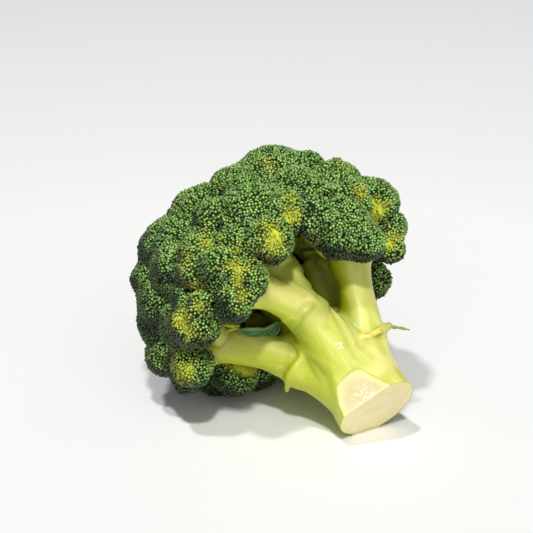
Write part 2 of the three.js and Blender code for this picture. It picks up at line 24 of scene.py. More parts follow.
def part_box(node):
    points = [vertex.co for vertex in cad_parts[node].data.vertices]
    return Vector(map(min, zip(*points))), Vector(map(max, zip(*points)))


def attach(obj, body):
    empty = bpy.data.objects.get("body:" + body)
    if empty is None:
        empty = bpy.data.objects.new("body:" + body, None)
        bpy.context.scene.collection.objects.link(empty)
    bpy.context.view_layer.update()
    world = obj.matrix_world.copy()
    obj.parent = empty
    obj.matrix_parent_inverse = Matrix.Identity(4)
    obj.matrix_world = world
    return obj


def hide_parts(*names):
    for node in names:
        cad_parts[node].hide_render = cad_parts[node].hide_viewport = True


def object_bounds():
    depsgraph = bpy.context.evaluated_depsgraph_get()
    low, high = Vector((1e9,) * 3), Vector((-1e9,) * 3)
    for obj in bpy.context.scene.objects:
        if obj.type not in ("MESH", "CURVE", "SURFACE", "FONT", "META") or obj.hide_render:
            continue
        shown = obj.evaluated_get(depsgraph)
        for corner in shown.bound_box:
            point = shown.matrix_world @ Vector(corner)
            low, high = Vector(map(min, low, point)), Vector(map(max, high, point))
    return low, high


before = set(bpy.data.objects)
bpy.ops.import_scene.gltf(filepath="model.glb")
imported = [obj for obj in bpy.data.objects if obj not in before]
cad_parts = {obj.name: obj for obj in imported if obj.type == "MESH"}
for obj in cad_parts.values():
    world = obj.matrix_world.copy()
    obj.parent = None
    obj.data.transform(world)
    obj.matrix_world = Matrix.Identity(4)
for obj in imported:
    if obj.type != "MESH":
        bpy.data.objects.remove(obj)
CAD_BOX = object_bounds()

log = logging.getLogger("broccoli")

Array = np.ndarray
Socket = bpy.types.NodeSocket

MM = 0.001
ROOT = "root"
FAR = 1.0e3  # a distance, in millimetres, that nothing on the plant reaches
TINY = 1.0e-6  # the least length that is divided by, and within which points are one
CORNERS = tuple(product((0, 1), repeat=3))  # the corners of a cell of a grid


# ---- Where things are on the plant -------------------------------------------
# AXIS runs along the stem to the crown's top, and UPPER and ACROSS lie square to it.

LEAN = math.radians(32)  # how far the stem rises from its cut end to the crown
AXIS = np.array([-math.cos(LEAN), 0.0, math.sin(LEAN)])
UPPER = np.array([math.sin(LEAN), 0.0, math.cos(LEAN)])
ACROSS = np.array([0.0, 1.0, 0.0])
CROWN_CENTRE = np.array([-1.6, 1.8, 63.0])
CROWN_HEIGHT = 81.0  # from the cut end to the crown's centre, along the stem
SUNNY_SIDE = np.array([0.6, 0.05, 0.8])  # the way that buds face where their painted light is brightest
LIT_SKIN_SIDE = np.array([0.6, 0.35, 0.55])  # the way that the stalk's skin faces where its painted light makes it palest


def bearing_direction(bearing: float) -> Array:
    """Give the unit vector square to the stem at a bearing, in degrees from its upper side."""
    turn = math.radians(bearing)
    return math.cos(turn) * UPPER + math.sin(turn) * ACROSS


def on_stem(height: float, out: float, bearing: float) -> Array:
    """Give a point from its height along the stem, its distance out and its bearing.

    Args:
        height: Distance from the cut end along the stem's axis.
        out: Distance from the axis.
        bearing: Degrees round the axis from its upper side.

    Returns:
        The point, in millimetres.
    """
    return CROWN_CENTRE + AXIS * (height - CROWN_HEIGHT) + out * bearing_direction(bearing)


def stem_height(points: Array) -> Array:
    """Give how far along the stem points are from its cut end."""
    return (points - CROWN_CENTRE) @ AXIS + CROWN_HEIGHT


def cross_plane(bearing: float, angle: float) -> Array:
    """Give the normal of a plane across the stem that leans by an angle towards a bearing."""
    turn = math.radians(angle)
    return bearing_direction(bearing) * math.sin(turn) + AXIS * math.cos(turn)


def unit(vectors: Array) -> Array:
    """Scale vectors to length one, leaving a zero vector as it is."""
    length = np.linalg.norm(vectors, axis=-1, keepdims=True)
    return vectors / np.maximum(length, 1.0e-9)


def smoothstep(low: float, high: float, value: Array) -> Array:
    """Rise smoothly from 0 at low to 1 at high."""
    share = np.clip((value - low) / (high - low), 0.0, 1.0)
    return share * share * (3.0 - 2.0 * share)


def ripple(points: Array, length: float, seed: int) -> Array:
    """Give a smooth random value of about -1 to 1 at each point.

    Args:
        points: Points, one to a row, in millimetres.
        length: The usual distance between two swells.
        seed: The seed of the waves' directions.

    Returns:
        One value for each point.
    """
    random = np.random.default_rng(seed)
    waves = unit(random.normal(size=(9, 3))) * (math.tau / length)
    waves *= random.uniform(0.6, 1.4, (9, 1))
    return np.sin(points @ waves.T + random.uniform(0, math.tau, 9)).sum(axis=1) / 3.0


def smooth_curve(points: Array, spans: int) -> Array:
    """Sample a centripetal Catmull-Rom curve through points.

    Args:
        points: The points that the curve passes, one to a row.
        spans: The number of samples from each point to the next.

    Returns:
        The samples, with the last point at the end.
    """
    before = 2 * points[0] - points[1]
    after = 2 * points[-1] - points[-2]
    knots = np.vstack([before, points, after])
    share = np.linspace(0.0, 1.0, spans, endpoint=False)[:, None]
    samples = []
    for k in range(len(points) - 1):
        p0, p1, p2, p3 = knots[k:k + 4]
        d0, d1, d2 = (math.sqrt(np.linalg.norm(b - a)) for a, b in ((p0, p1), (p1, p2), (p2, p3)))
        start = ((p1 - p0) / d0 - (p2 - p0) / (d0 + d1) + (p2 - p1) / d1) * d1
        end = ((p2 - p1) / d1 - (p3 - p1) / (d1 + d2) + (p3 - p2) / d2) * d1
        square = -3 * p1 + 3 * p2 - 2 * start - end
        cube = 2 * p1 - 2 * p2 + start + end
        samples.append(p1 + start * share + square * share**2 + cube * share**3)
    samples.append(points[-1][None, :])
    return np.vstack(samples)


# ---- Meshes ------------------------------------------------------------------


def new_object(name: str, data: bpy.types.ID) -> bpy.types.Object:
    """Make an object that shows some data, linked to the scene.

    Args:
        name: The object's name.
        data: A mesh, a lamp or a camera.

    Returns:
        The object.
    """
    made = bpy.data.objects.new(name, data)
    bpy.context.scene.collection.objects.link(made)
    return made


def make_object(name: str, vertices: Array, faces: list | Array) -> bpy.types.Object:
    """Make a smooth mesh object from points in millimetres.

    Args:
        name: The object's name.
        vertices: Points, one to a row.
        faces: Rows of point numbers, with as many points each as the face has corners.

    Returns:
        The object, linked to the scene.
    """
    mesh = bpy.data.meshes.new(name)
    mesh.from_pydata((vertices * MM).tolist(), [], [tuple(face) for face in faces])
    mesh.validate()
    mesh.polygons.foreach_set("use_smooth", [True] * len(mesh.polygons))
    mesh.update()
    return new_object(name, mesh)


def read_vectors(mesh: bpy.types.Mesh, key: str) -> Array:
    """Read three numbers for each point of a mesh.

    Args:
        mesh: The mesh.
        key: What is read: "co" for places, "normal" for directions.

    Returns:
        One row for each point.
    """
    flat = np.empty(len(mesh.vertices) * 3, dtype=np.float32)
    mesh.vertices.foreach_get(key, flat)
    return flat.reshape(-1, 3).astype(float)


def vertex_points(mesh: bpy.types.Mesh) -> Array:
    """Read a mesh's points, in millimetres."""
    return read_vectors(mesh, "co") / MM


def vertex_normals(mesh: bpy.types.Mesh) -> Array:
    """Read a mesh's point normals."""
    return read_vectors(mesh, "normal")


def move_vertices(mesh: bpy.types.Mesh, points: Array) -> None:
    """Give a mesh new points, in millimetres."""
    mesh.vertices.foreach_set("co", (points * MM).astype(np.float32).ravel())
    mesh.update()


def store(mesh: bpy.types.Mesh, **layers: Array) -> None:
    """Keep numbers or vectors on a mesh under names.

    Args:
        mesh: The mesh.
        **layers: For each name, one number or one vector for each point.
    """
    for name, values in layers.items():
        kind, key = ("FLOAT", "value") if values.ndim == 1 else ("FLOAT_VECTOR", "vector")
        layer = mesh.attributes.new(name, kind, "POINT")
        layer.data.foreach_set(key, values.astype(np.float32).ravel())


@contextmanager
def edited(mesh: bpy.types.Mesh) -> Iterator[bmesh.types.BMesh]:
    """Open a mesh for editing, and write it back at the end.

    Args:
        mesh: The mesh to change.

    Yields:
        Its editable copy.
    """
    work = bmesh.new()
    work.from_mesh(mesh)
    yield work
    work.to_mesh(mesh)
    work.free()


def applied(source: bpy.types.Object) -> None:
    """Turn an object and its modifiers into a plain mesh, and take the modifiers off.

    Args:
        source: The object, which keeps its name and gets the new mesh.
    """
    graph = bpy.context.evaluated_depsgraph_get()
    mesh = bpy.data.meshes.new_from_object(source.evaluated_get(graph), depsgraph=graph)
    source.modifiers.clear()
    source.data = mesh


def hand_over(piece: bpy.types.Object, node: str) -> None:
    """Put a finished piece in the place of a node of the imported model.

    Args:
        piece: The piece.
        node: The node that it replaces.
    """
    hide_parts(node)
    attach(piece, ROOT)
    piece.data.calc_loop_triangles()
    log.info("%s: %d triangles", piece.name, len(piece.data.loop_triangles))


class Slot(Enum):
    """The names of the finishes."""

    STALK = "stalk"
    FLORETS = "florets"
    LEAF = "leaf"


# ---- Node trees --------------------------------------------------------------


@dataclass
class NodeSheet:
    """Places the nodes of one tree and joins them.

    Attributes:
        tree: The shader or geometry tree that is filled.
    """

    tree: bpy.types.NodeTree

    def feed(self, socket: Socket, value: object) -> None:
        """Give an input its value.

        Args:
            socket: The input.
            value: A constant, or the socket that feeds the input.
        """
        if isinstance(value, Socket):
            self.tree.links.new(value, socket)
        else:
            socket.default_value = value

    def node(self, kind: str, inputs: dict | None = None, **settings: object) -> bpy.types.Node:
        """Place a node.

        Args:
            kind: The node's type name.
            inputs: For each input's name or number, a constant or the socket that feeds it.
            **settings: The node's own properties.

        Returns:
            The node.
        """
        placed = self.tree.nodes.new(kind)
        for name, value in settings.items():
            setattr(placed, name, value)
        for key, value in (inputs or {}).items():
            self.feed(placed.inputs[key], value)
        return placed

    def given(self, *rows: tuple) -> bpy.types.bpy_prop_collection:
        """Name the tree's own inputs.

        Args:
            *rows: For each input its name, the kind of its socket, and its usual value if it
                has one.

        Returns:
            The sockets that the inputs' values come from.
        """
        for name, kind, *usual in rows:
            socket = self.tree.interface.new_socket(name, in_out="INPUT",
                                                    socket_type="NodeSocket" + kind)
            if usual:
                socket.default_value = usual[0]
        return self.node("NodeGroupInput").outputs

    def put_out(self, **results: tuple) -> None:
        """Name the tree's outputs and join them.

        Args:
            **results: For each output's name, the kind of its socket and what feeds it.
        """
        for name, (kind, _) in results.items():
            self.tree.interface.new_socket(name, in_out="OUTPUT", socket_type="NodeSocket" + kind)
        self.node("NodeGroupOutput", {name: value for name, (_, value) in results.items()})

    def math(self, operation: str, *values: object) -> Socket:
        """Place a Math node on constants and sockets, and give its result."""
        return self.node("ShaderNodeMath", dict(enumerate(values)), operation=operation).outputs[0]

    def times(self, *values: object) -> Socket:
        """Multiply two or more values in turn."""
        return reduce(lambda so_far, value: self.math("MULTIPLY", so_far, value), values)

    def scaled(self, vector: object, factor: object) -> Socket:
        """Scale a vector or a colour."""
        inputs = {0: vector, "Scale": factor}
        return self.node("ShaderNodeVectorMath", inputs, operation="SCALE").outputs[0]

    def vector(self, *values: object) -> Socket:
        """Put three values together in a vector."""
        return self.node("ShaderNodeCombineXYZ", dict(enumerate(values))).outputs[0]

    def rescale(self, value: object, low: float, high: float, to_low: float = 0.0,
                to_high: float = 1.0) -> Socket:
        """Bring a value from one range to another, smoothly and held at the ends."""
        inputs = {"Value": value, "From Min": low, "From Max": high,
                  "To Min": to_low, "To Max": to_high}
        return self.node("ShaderNodeMapRange", inputs, interpolation_type="SMOOTHSTEP").outputs[0]

    def mix(self, share: object, first: object, second: object) -> Socket:
        """Mix two colours."""
        inputs = {0: share, 6: first, 7: second}
        return self.node("ShaderNodeMix", inputs, data_type="RGBA").outputs[2]

    def kept(self, name: str, output: str = "Fac") -> Socket:
        """Read what is kept on the mesh under a name."""
        settings = {"attribute_name": name, "attribute_type": "GEOMETRY"}
        return self.node("ShaderNodeAttribute", **settings).outputs[output]

    def place(self) -> Socket:
        """Read the place on the object."""
        return self.node("ShaderNodeTexCoord").outputs["Object"]

    def noise(self, vector: object, scale: object, detail: float = 2.0,
              roughness: float = 0.5) -> Socket:
        """Place a noise of a scale on a vector, and give its value."""
        inputs = {"Vector": vector, "Scale": scale, "Detail": detail, "Roughness": roughness}
        return self.node("ShaderNodeTexNoise", inputs).outputs[0]

    def bump(self, height: object, distance: float, strength: float) -> Socket:
        """Turn a height into fine relief, and give the normal."""
        inputs = {"Height": height, "Distance": distance, "Strength": strength}
        return self.node("ShaderNodeBump", inputs).outputs[0]

    def shade(self, inputs: dict) -> None:
        """Place the Principled shader with its inputs, and join it to the material's output."""
        shader = self.node("ShaderNodeBsdfPrincipled", inputs)
        self.node("ShaderNodeOutputMaterial", {"Surface": shader.outputs[0]})


def linear(red: int, green: int, blue: int) -> tuple[float, float, float, float]:
    """Turn a display colour into the linear one that shaders use.

    Args:
        red: The red of the display colour, from 0 to 255.
        green: Its green.
        blue: Its blue.

    Returns:
        The linear colour, from 0 to 1, with a solid alpha.
    """
    shares = (value / 255 for value in (red, green, blue))
    return (*(share / 12.92 if share <= 0.04045 else ((share + 0.055) / 1.055) ** 2.4
              for share in shares), 1.0)


def new_material(name: str) -> tuple[bpy.types.Material, NodeSheet]:
    """Make a material with nothing in it.

    Args:
        name: The material's name.

    Returns:
        The material, and the sheet that its nodes are placed on.
    """
    material = bpy.data.materials.new(name)
    material.use_nodes = True
    material.node_tree.nodes.clear()
    return material, NodeSheet(material.node_tree)


def mottle_group() -> bpy.types.NodeTree:
    """Build the shader group that gives any finish its uneven, living colour.

    Returns:
        A group that varies a colour in tone and towards a second colour, from place to place.
    """
    name = "Plant mottle"
    if name in bpy.data.node_groups:
        return bpy.data.node_groups[name]
    sheet = NodeSheet(bpy.data.node_groups.new(name, "ShaderNodeTree"))
    white = (1, 1, 1, 1)
    given = sheet.given(("Vector", "Vector"), ("Colour", "Color", white),
                        ("Second", "Color", white), ("Scale", "Float", 100.0),
                        ("Amount", "Float", 0.3), ("Tone", "Float", 0.15))
    broad = sheet.noise(given["Vector"], given["Scale"], 3.0)
    fine = sheet.noise(given["Vector"], sheet.times(given["Scale"], 4.3), 2.0)
    share = sheet.times(sheet.rescale(broad, 0.35, 0.68), given["Amount"])
    blended = sheet.mix(share, given["Colour"], given["Second"])
    swing = sheet.times(sheet.math("SUBTRACT", fine, 0.5), given["Tone"])
    brightness = sheet.math("MULTIPLY_ADD", swing, 2.0, 1.0)
    sheet.put_out(Colour=("Color", sheet.scaled(blended, brightness)))
    return sheet.tree


def mottled(sheet: NodeSheet, vector: object, colour: object, second: object, scale: float,
            amount: float, tone: float) -> Socket:
    """Place the mottle group in a material with values of its own.

    Args:
        sheet: The material's sheet.
        vector: The place that the mottle follows.
        colour: The colour that is varied.
        second: The colour that it turns to here and there.
        scale: How fine the mottle is.
        amount: How far it turns to the second colour.
        tone: How far it gets lighter and darker.

    Returns:
        The uneven colour.
    """
    values = {"Vector": vector, "Colour": colour, "Second": second, "Scale": scale,
              "Amount": amount, "Tone": tone}
    return sheet.node("ShaderNodeGroup", values, node_tree=mottle_group()).outputs["Colour"]


# ---- Finishes ----------------------------------------------------------------


@dataclass(frozen=True)
class StalkFinish:
    """The stalk's waxy skin, and the moist pith where the knife went through."""

    skin: tuple = linear(238, 234, 140)
    fresh: tuple = linear(184, 196, 12)
    pale: tuple = linear(243, 240, 170)
    crease: tuple = linear(138, 152, 16)
    worn: tuple = linear(214, 178, 92)
    yellow: tuple = linear(232, 222, 96)
    rind: tuple = linear(240, 236, 160)
    pith: tuple = linear(246, 234, 182)
    blush: tuple = linear(240, 216, 152)
    moist: tuple = linear(206, 192, 134)
    drop_glint: tuple = linear(255, 254, 246)
    edge: tuple = linear(168, 174, 44)
    roughness: float = 0.4

    def skin_colour(self, sheet: NodeSheet, grain: Socket, streaks: Socket) -> Socket:
        """Colour the skin: fresh where it faces away from the light and darker in creases, as
        painted shade, and yellow and worn at the scars.

        Args:
            sheet: The material's sheet.
            grain: The place along and round the fibres.
            streaks: How far the skin is streaked.

        Returns:
            The colour.
        """
        seam, scar = sheet.kept("seam"), sheet.kept("scar")
        # Painted light and shade: tone runs from fresh green, facing away from the light, to pale
        # skin facing it.
        base = sheet.mix(sheet.kept("tone"), self.fresh, self.skin)
        uneven = mottled(sheet, grain, base, self.fresh, 0.09, 0.6, 0.1)
        colour = sheet.mix(seam, uneven, base)
        colour = sheet.mix(sheet.rescale(streaks, 0.48, 0.75, 0.0, 0.25), colour, self.pale)
        # Painted shade: darker green in the forks and in the nooks that other parts close in on.
        colour = sheet.mix(sheet.times(sheet.kept("crease"), 0.75), colour, self.crease)
        colour = sheet.mix(sheet.rescale(scar, 0.1, 0.55, 0.0, 0.8), colour, self.yellow)
        specks = sheet.rescale(sheet.noise(sheet.place(), 420.0), 0.45, 0.62)
        worn = sheet.times(sheet.rescale(scar, 0.6, 1.0), specks)
        return sheet.mix(worn, colour, self.worn)

    def cut_colour(self, sheet: NodeSheet, depth: Socket, wet: Socket) -> Socket:
        """Colour what the knife laid bare: a thin green edge, the rind, the pith and a painted
        highlight where the two cuts meet.

        Args:
            sheet: The material's sheet.
            depth: How deep under the skin each place was, in millimetres.
            wet: How wet it is, from 0 to 1.

        Returns:
            The colour.
        """
        pith = mottled(sheet, sheet.place(), self.pith, self.blush, 90.0, 0.55, 0.08)
        flesh = sheet.mix(sheet.rescale(depth, 0.6, 3.4), self.rind, pith)
        flesh = sheet.mix(sheet.rescale(depth, 0.3, 0.7, 0.6, 0.0), flesh, self.edge)
        flesh = sheet.mix(sheet.rescale(wet, 0.0, 0.4, 0.0, 0.5), flesh, self.moist)
        # Painted highlight: a pale line along the edge where the two cuts meet.
        return sheet.mix(sheet.times(sheet.kept("ridge"), 0.6), flesh, self.pale)

    def material(self) -> bpy.types.Material:
        """Build the material.

        Returns:
            The material, with painted water glints where the stalk is wet.
        """
        material, sheet = new_material("stalk skin and pith")
        grain, place = sheet.kept("grain", "Vector"), sheet.place()
        depth, wet = sheet.kept("depth"), sheet.kept("wet")
        streaks = sheet.noise(grain, 0.8, 3.0, 0.6)
        to_even = sheet.math("SUBTRACT", 0.5, streaks)
        streaks = sheet.math("MULTIPLY_ADD", to_even, sheet.kept("seam"), streaks)
        skin = self.skin_colour(sheet, grain, streaks)
        is_cut = sheet.rescale(depth, 0.12, 0.3)
        colour = sheet.mix(is_cut, skin, self.cut_colour(sheet, depth, wet))
        # Painted highlights: near-white glints strewn over the wet places.
        drop_glints = sheet.rescale(sheet.noise(place, 800.0, 1.0), 0.56, 0.64)
        drop_glints = sheet.times(drop_glints, sheet.rescale(wet, 0.45, 0.8))
        rough = sheet.rescale(sheet.noise(place, 260.0, 3.0), 0.3, 0.7,
                              self.roughness - 0.08, self.roughness + 0.1)
        ridges = sheet.math("MULTIPLY_ADD", streaks, 0.35, sheet.noise(place, 420.0, 3.0))
        beads = sheet.times(sheet.noise(place, 620.0, 1.0), wet)
        ridges = sheet.math("MULTIPLY_ADD", beads, 2.4, ridges)
        sheet.shade({
            "Base Color": sheet.mix(drop_glints, colour, self.drop_glint),
            "Roughness": sheet.times(rough, sheet.rescale(wet, 0.0, 1.0, 1.0, 0.5)),
            "Coat Weight": sheet.rescale(wet, 0.0, 1.0, 0.06, 1.0),
            "Coat Roughness": 0.14,
            "Specular IOR Level": 0.36,
            "Subsurface Weight": 0.3,
            "Subsurface Radius": (1.0, 0.95, 0.2),
            "Subsurface Scale": 0.005,
            "Normal": sheet.bump(ridges, 0.0005, 0.25),
        })
        return material


@dataclass(frozen=True)
class BudFinish:
    """Closed flower buds, with painted shade between them and on their unlit side, and painted
    highlights on top.
    """

    deep: tuple = linear(6, 22, 2)
    shaded: tuple = linear(28, 60, 26)
    body: tuple = linear(118, 172, 50)
    fresh: tuple = linear(148, 178, 50)
    highlight_cap: tuple = linear(222, 242, 204)
    pale: tuple = linear(208, 218, 72)
    stem: tuple = linear(236, 230, 116)
    roughness: float = 0.3

    def material(self) -> bpy.types.Material:
        """Build the material.

        Returns:
            The material, which tells buds from their stems by what is kept on them.
        """
        material, sheet = new_material("buds")
        shade, tip, sky = sheet.kept("shade"), sheet.kept("tip"), sheet.kept("sky")
        # Painted light and shade: shaded green on the side away from the light, body green on the
        # lit side.
        green = sheet.mix(sheet.rescale(sky, 0.15, 0.85), self.shaded, self.body)
        green = mottled(sheet, sheet.place(), green, self.fresh, 60.0, 0.35, 0.25)
        colour = sheet.mix(sheet.rescale(shade, 0.3, 1.0, 0.0, 0.6), green, self.deep)
        # Painted shade: darker in hollows between clusters and where the head is closed in.
        colour = sheet.mix(sheet.times(sheet.kept("hollow"), 0.62), colour, self.deep)
        # Painted highlight: pale tops on the buds, strongest on the lit side.
        highlight_cap = sheet.times(sheet.rescale(tip, 0.76, 1.0), sheet.rescale(sky, 0.1, 0.8, 0.12, 0.9),
                          sheet.rescale(shade, 0.0, 0.8, 1.0, 0.2))
        colour = sheet.mix(highlight_cap, colour, self.highlight_cap)
        pale = sheet.rescale(sheet.kept("pale"), 0.05, 0.9, 0.0, 0.85)
        colour = sheet.mix(pale, colour, self.pale)
        # Painted shade: dark at each bud's foot, down among the buds.
        colour = sheet.mix(sheet.rescale(tip, 0.35, 0.85, 0.97, 0.0), colour, self.deep)
        # Painted shade: darker still on the side away from the light.
        colour = sheet.mix(sheet.rescale(sky, 0.05, 0.55, 0.5, 0.0), colour, self.deep)
        sheet.shade({
            "Base Color": sheet.mix(sheet.kept("stem"), colour, self.stem),
            "Roughness": sheet.rescale(shade, 0.0, 1.0, self.roughness - 0.06,
                                       self.roughness + 0.1),
            "Specular IOR Level": 0.4,
        })
        return material


@dataclass(frozen=True)
class FloretFinish:
    """The flesh under the buds: deep green among them as painted shade, yellow-green where it is
    bare.
    """

    deep: tuple = linear(16, 36, 8)
    flesh: tuple = linear(186, 192, 60)
    yellow: tuple = linear(208, 214, 62)
    roughness: float = 0.7

    def material(self) -> bpy.types.Material:
        """Build the material.

        Returns:
            The material.
        """
        material, sheet = new_material("floret flesh")
        place, bloom = sheet.place(), sheet.kept("bloom")
        flesh = mottled(sheet, place, self.flesh, self.deep, 300.0, 0.2, 0.2)
        # Painted shade: the flesh is deep green where buds stand over it.
        colour = sheet.mix(bloom, flesh, self.deep)
        yellow = sheet.times(sheet.rescale(sheet.kept("pale"), 0.3, 0.75), bloom)
        sheet.shade({
            "Base Color": sheet.mix(yellow, colour, self.yellow),
            "Roughness": self.roughness,
            "Specular IOR Level": 0.2,
            "Normal": sheet.bump(sheet.noise(place, 700.0, 3.0), 0.0008, 0.5),
        })
        return material


@dataclass(frozen=True)
class LeafFinish:
    """A leaf's blue-green blade with paler veins."""

    blade: tuple = linear(48, 106, 48)
    second: tuple = linear(90, 140, 66)
    vein: tuple = linear(170, 196, 120)
    stem: tuple = linear(188, 196, 70)
    roughness: float = 0.6

    def material(self) -> bpy.types.Material:
        """Build the material.

        Returns:
            The material.
        """
        material, sheet = new_material("leaf")
        place = sheet.place()
        colour = mottled(sheet, place, self.blade, self.second, 150.0, 0.6, 0.2)
        for name in ("vein", "rim"):
            colour = sheet.mix(sheet.times(sheet.kept(name), 0.7), colour, self.vein)
        sheet.shade({
            "Base Color": sheet.mix(sheet.kept("stem"), colour, self.stem),
            "Roughness": self.roughness,
            "Normal": sheet.bump(sheet.noise(place, 900.0, 3.0), 0.0004, 0.4),
        })
        return material


@dataclass(frozen=True)
class FloorFinish:
    """A plain, pale matt sheet, a little greyer far from its middle, as a painted fall-off of the
    light.

    Attributes:
        paper: Its colour in the middle.
        grey: Its colour at the edge.
        near: How far from the middle it starts to turn grey, in metres.
        far: How far from the middle it is grey, in metres.
    """

    paper: tuple = linear(247, 247, 246)
    grey: tuple = linear(220, 221, 222)
    near: float = 0.4
    far: float = 2.1

    def material(self) -> bpy.types.Material:
        """Build the material.

        Returns:
            The material.
        """
        material, sheet = new_material("floor")
        away = {0: sheet.place()}
        reach = sheet.node("ShaderNodeVectorMath", away, operation="LENGTH").outputs["Value"]
        span = {"Value": reach, "From Min": self.near, "From Max": self.far}
        share = sheet.node("ShaderNodeMapRange", span).outputs[0]
        sheet.shade({
            # Painted shade: the floor greys with distance, as the light falls off.
            "Base Color": sheet.mix(sheet.math("POWER", share, 0.6), self.paper, self.grey),
            "Roughness": 0.8,
            "Specular IOR Level": 0.1,
        })
        return material


# ---- Stalk -------------------------------------------------------------------

# Swells round a limb: how many, their turn, how far they turn for each millimetre along it,
# and their share of its ribs.
RIB_WAVES = ((2, 0.7, 0.02, 0.45), (3, 1.9, -0.03, 0.5), (7, 0.4, 0.025, 0.16))


@dataclass
class Limb:
    """A tapering stem along a smooth curve.

    Attributes:
        points: The points that its axis passes, one to a row.
        radii: Its radius at each of them.
        ribs: How far its surface stands in and out round it, as a share of the radius.
        merge: How widely it runs into the limbs that it meets.
        spans: Samples from one point to the next.
        flat_ends: Whether its ends are cut square, or round.
    """

    points: Array
    radii: Array
    ribs: float = 0.0
    merge: float = 3.0
    spans: int = 8
    flat_ends: bool = True
    axis: Array = field(init=False)
    width: Array = field(init=False)
    side: Array = field(init=False)
    other: Array = field(init=False)
    along: Array = field(init=False)

    def __post_init__(self) -> None:
        """Sample the axis, and carry a pair of side vectors along it."""
        self.axis = smooth_curve(self.points, self.spans)
        stations = np.arange(len(self.points)) * self.spans
        width = np.interp(np.arange(len(self.axis)), stations, self.radii)
        reach = self.spans // 2
        padded = np.pad(width, reach, mode="reflect", reflect_type="odd")
        kernel = np.hanning(2 * reach + 3)[1:-1]
        self.width = np.convolve(padded, kernel / kernel.sum(), mode="valid")
        tangent = unit(np.gradient(self.axis, axis=0))
        side = np.cross(tangent[0], ACROSS if abs(tangent[0][1]) < 0.8 else UPPER)
        sides = []
        for direction in tangent:
            side = unit(side - direction * side.dot(direction))
            sides.append(side)
        self.side = np.array(sides)
        self.other = np.cross(tangent, self.side)
        steps = np.linalg.norm(np.diff(self.axis, axis=0), axis=1)
        self.along = np.concatenate([[0.0], np.cumsum(steps)])

    def piece(self, k: int, points: Array) -> tuple[Array, Array, Array]:
        """Measure points against one sampled piece of the limb.

        Args:
            k: The piece's number.
            points: Points, with their three numbers last.

        Returns:
            The distance to the surface, the place along the axis, and the direction round it
            as a complex number of length one.
        """
        start, end = self.axis[k], self.axis[k + 1]
        step = end - start
        from_start = points - start
        share = np.clip((from_start @ step) / step.dot(step), 0.0, 1.0)
        away = from_start - share[..., None] * step
        distance = np.linalg.norm(away, axis=-1)
        round_it = (away @ self.side[k]) + 1j * (away @ self.other[k])
        round_it = round_it / np.maximum(np.abs(round_it), TINY)
        along = self.along[k] + share * (self.along[k + 1] - self.along[k])
        radius = self.width[k] + share * (self.width[k + 1] - self.width[k])
        if self.ribs:
            swell = sum((round_it**count * np.exp(1j * (turn + along * drift))).real * part
                        for count, turn, drift, part in RIB_WAVES)
            radius = radius * (1.0 + self.ribs * swell)
        return distance - radius, along, round_it

    def beyond_ends(self, points: Array) -> Array:
        """Measure how far points lie past the nearer flat end of the limb.

        Args:
            points: The points, with their three numbers last.

        Returns:
            The distances, which are below 0 between the ends.
        """
        first = unit(self.axis[1] - self.axis[0])
        last = unit(self.axis[-1] - self.axis[-2])
        return np.maximum(-(points - self.axis[0]) @ first, (points - self.axis[-1]) @ last)


def line_distance(points: Array, line: Array) -> Array:
    """Measure how far points are from a line.

    Args:
        points: The points, with their three numbers last.
        line: Samples close together along the line.

    Returns:
        The distance from each point to the nearest sample.
    """
    nearest = np.full(points.shape[:-1], FAR)
    for sample in line:
        nearest = np.minimum(nearest, np.linalg.norm(points - sample, axis=-1))
    return nearest


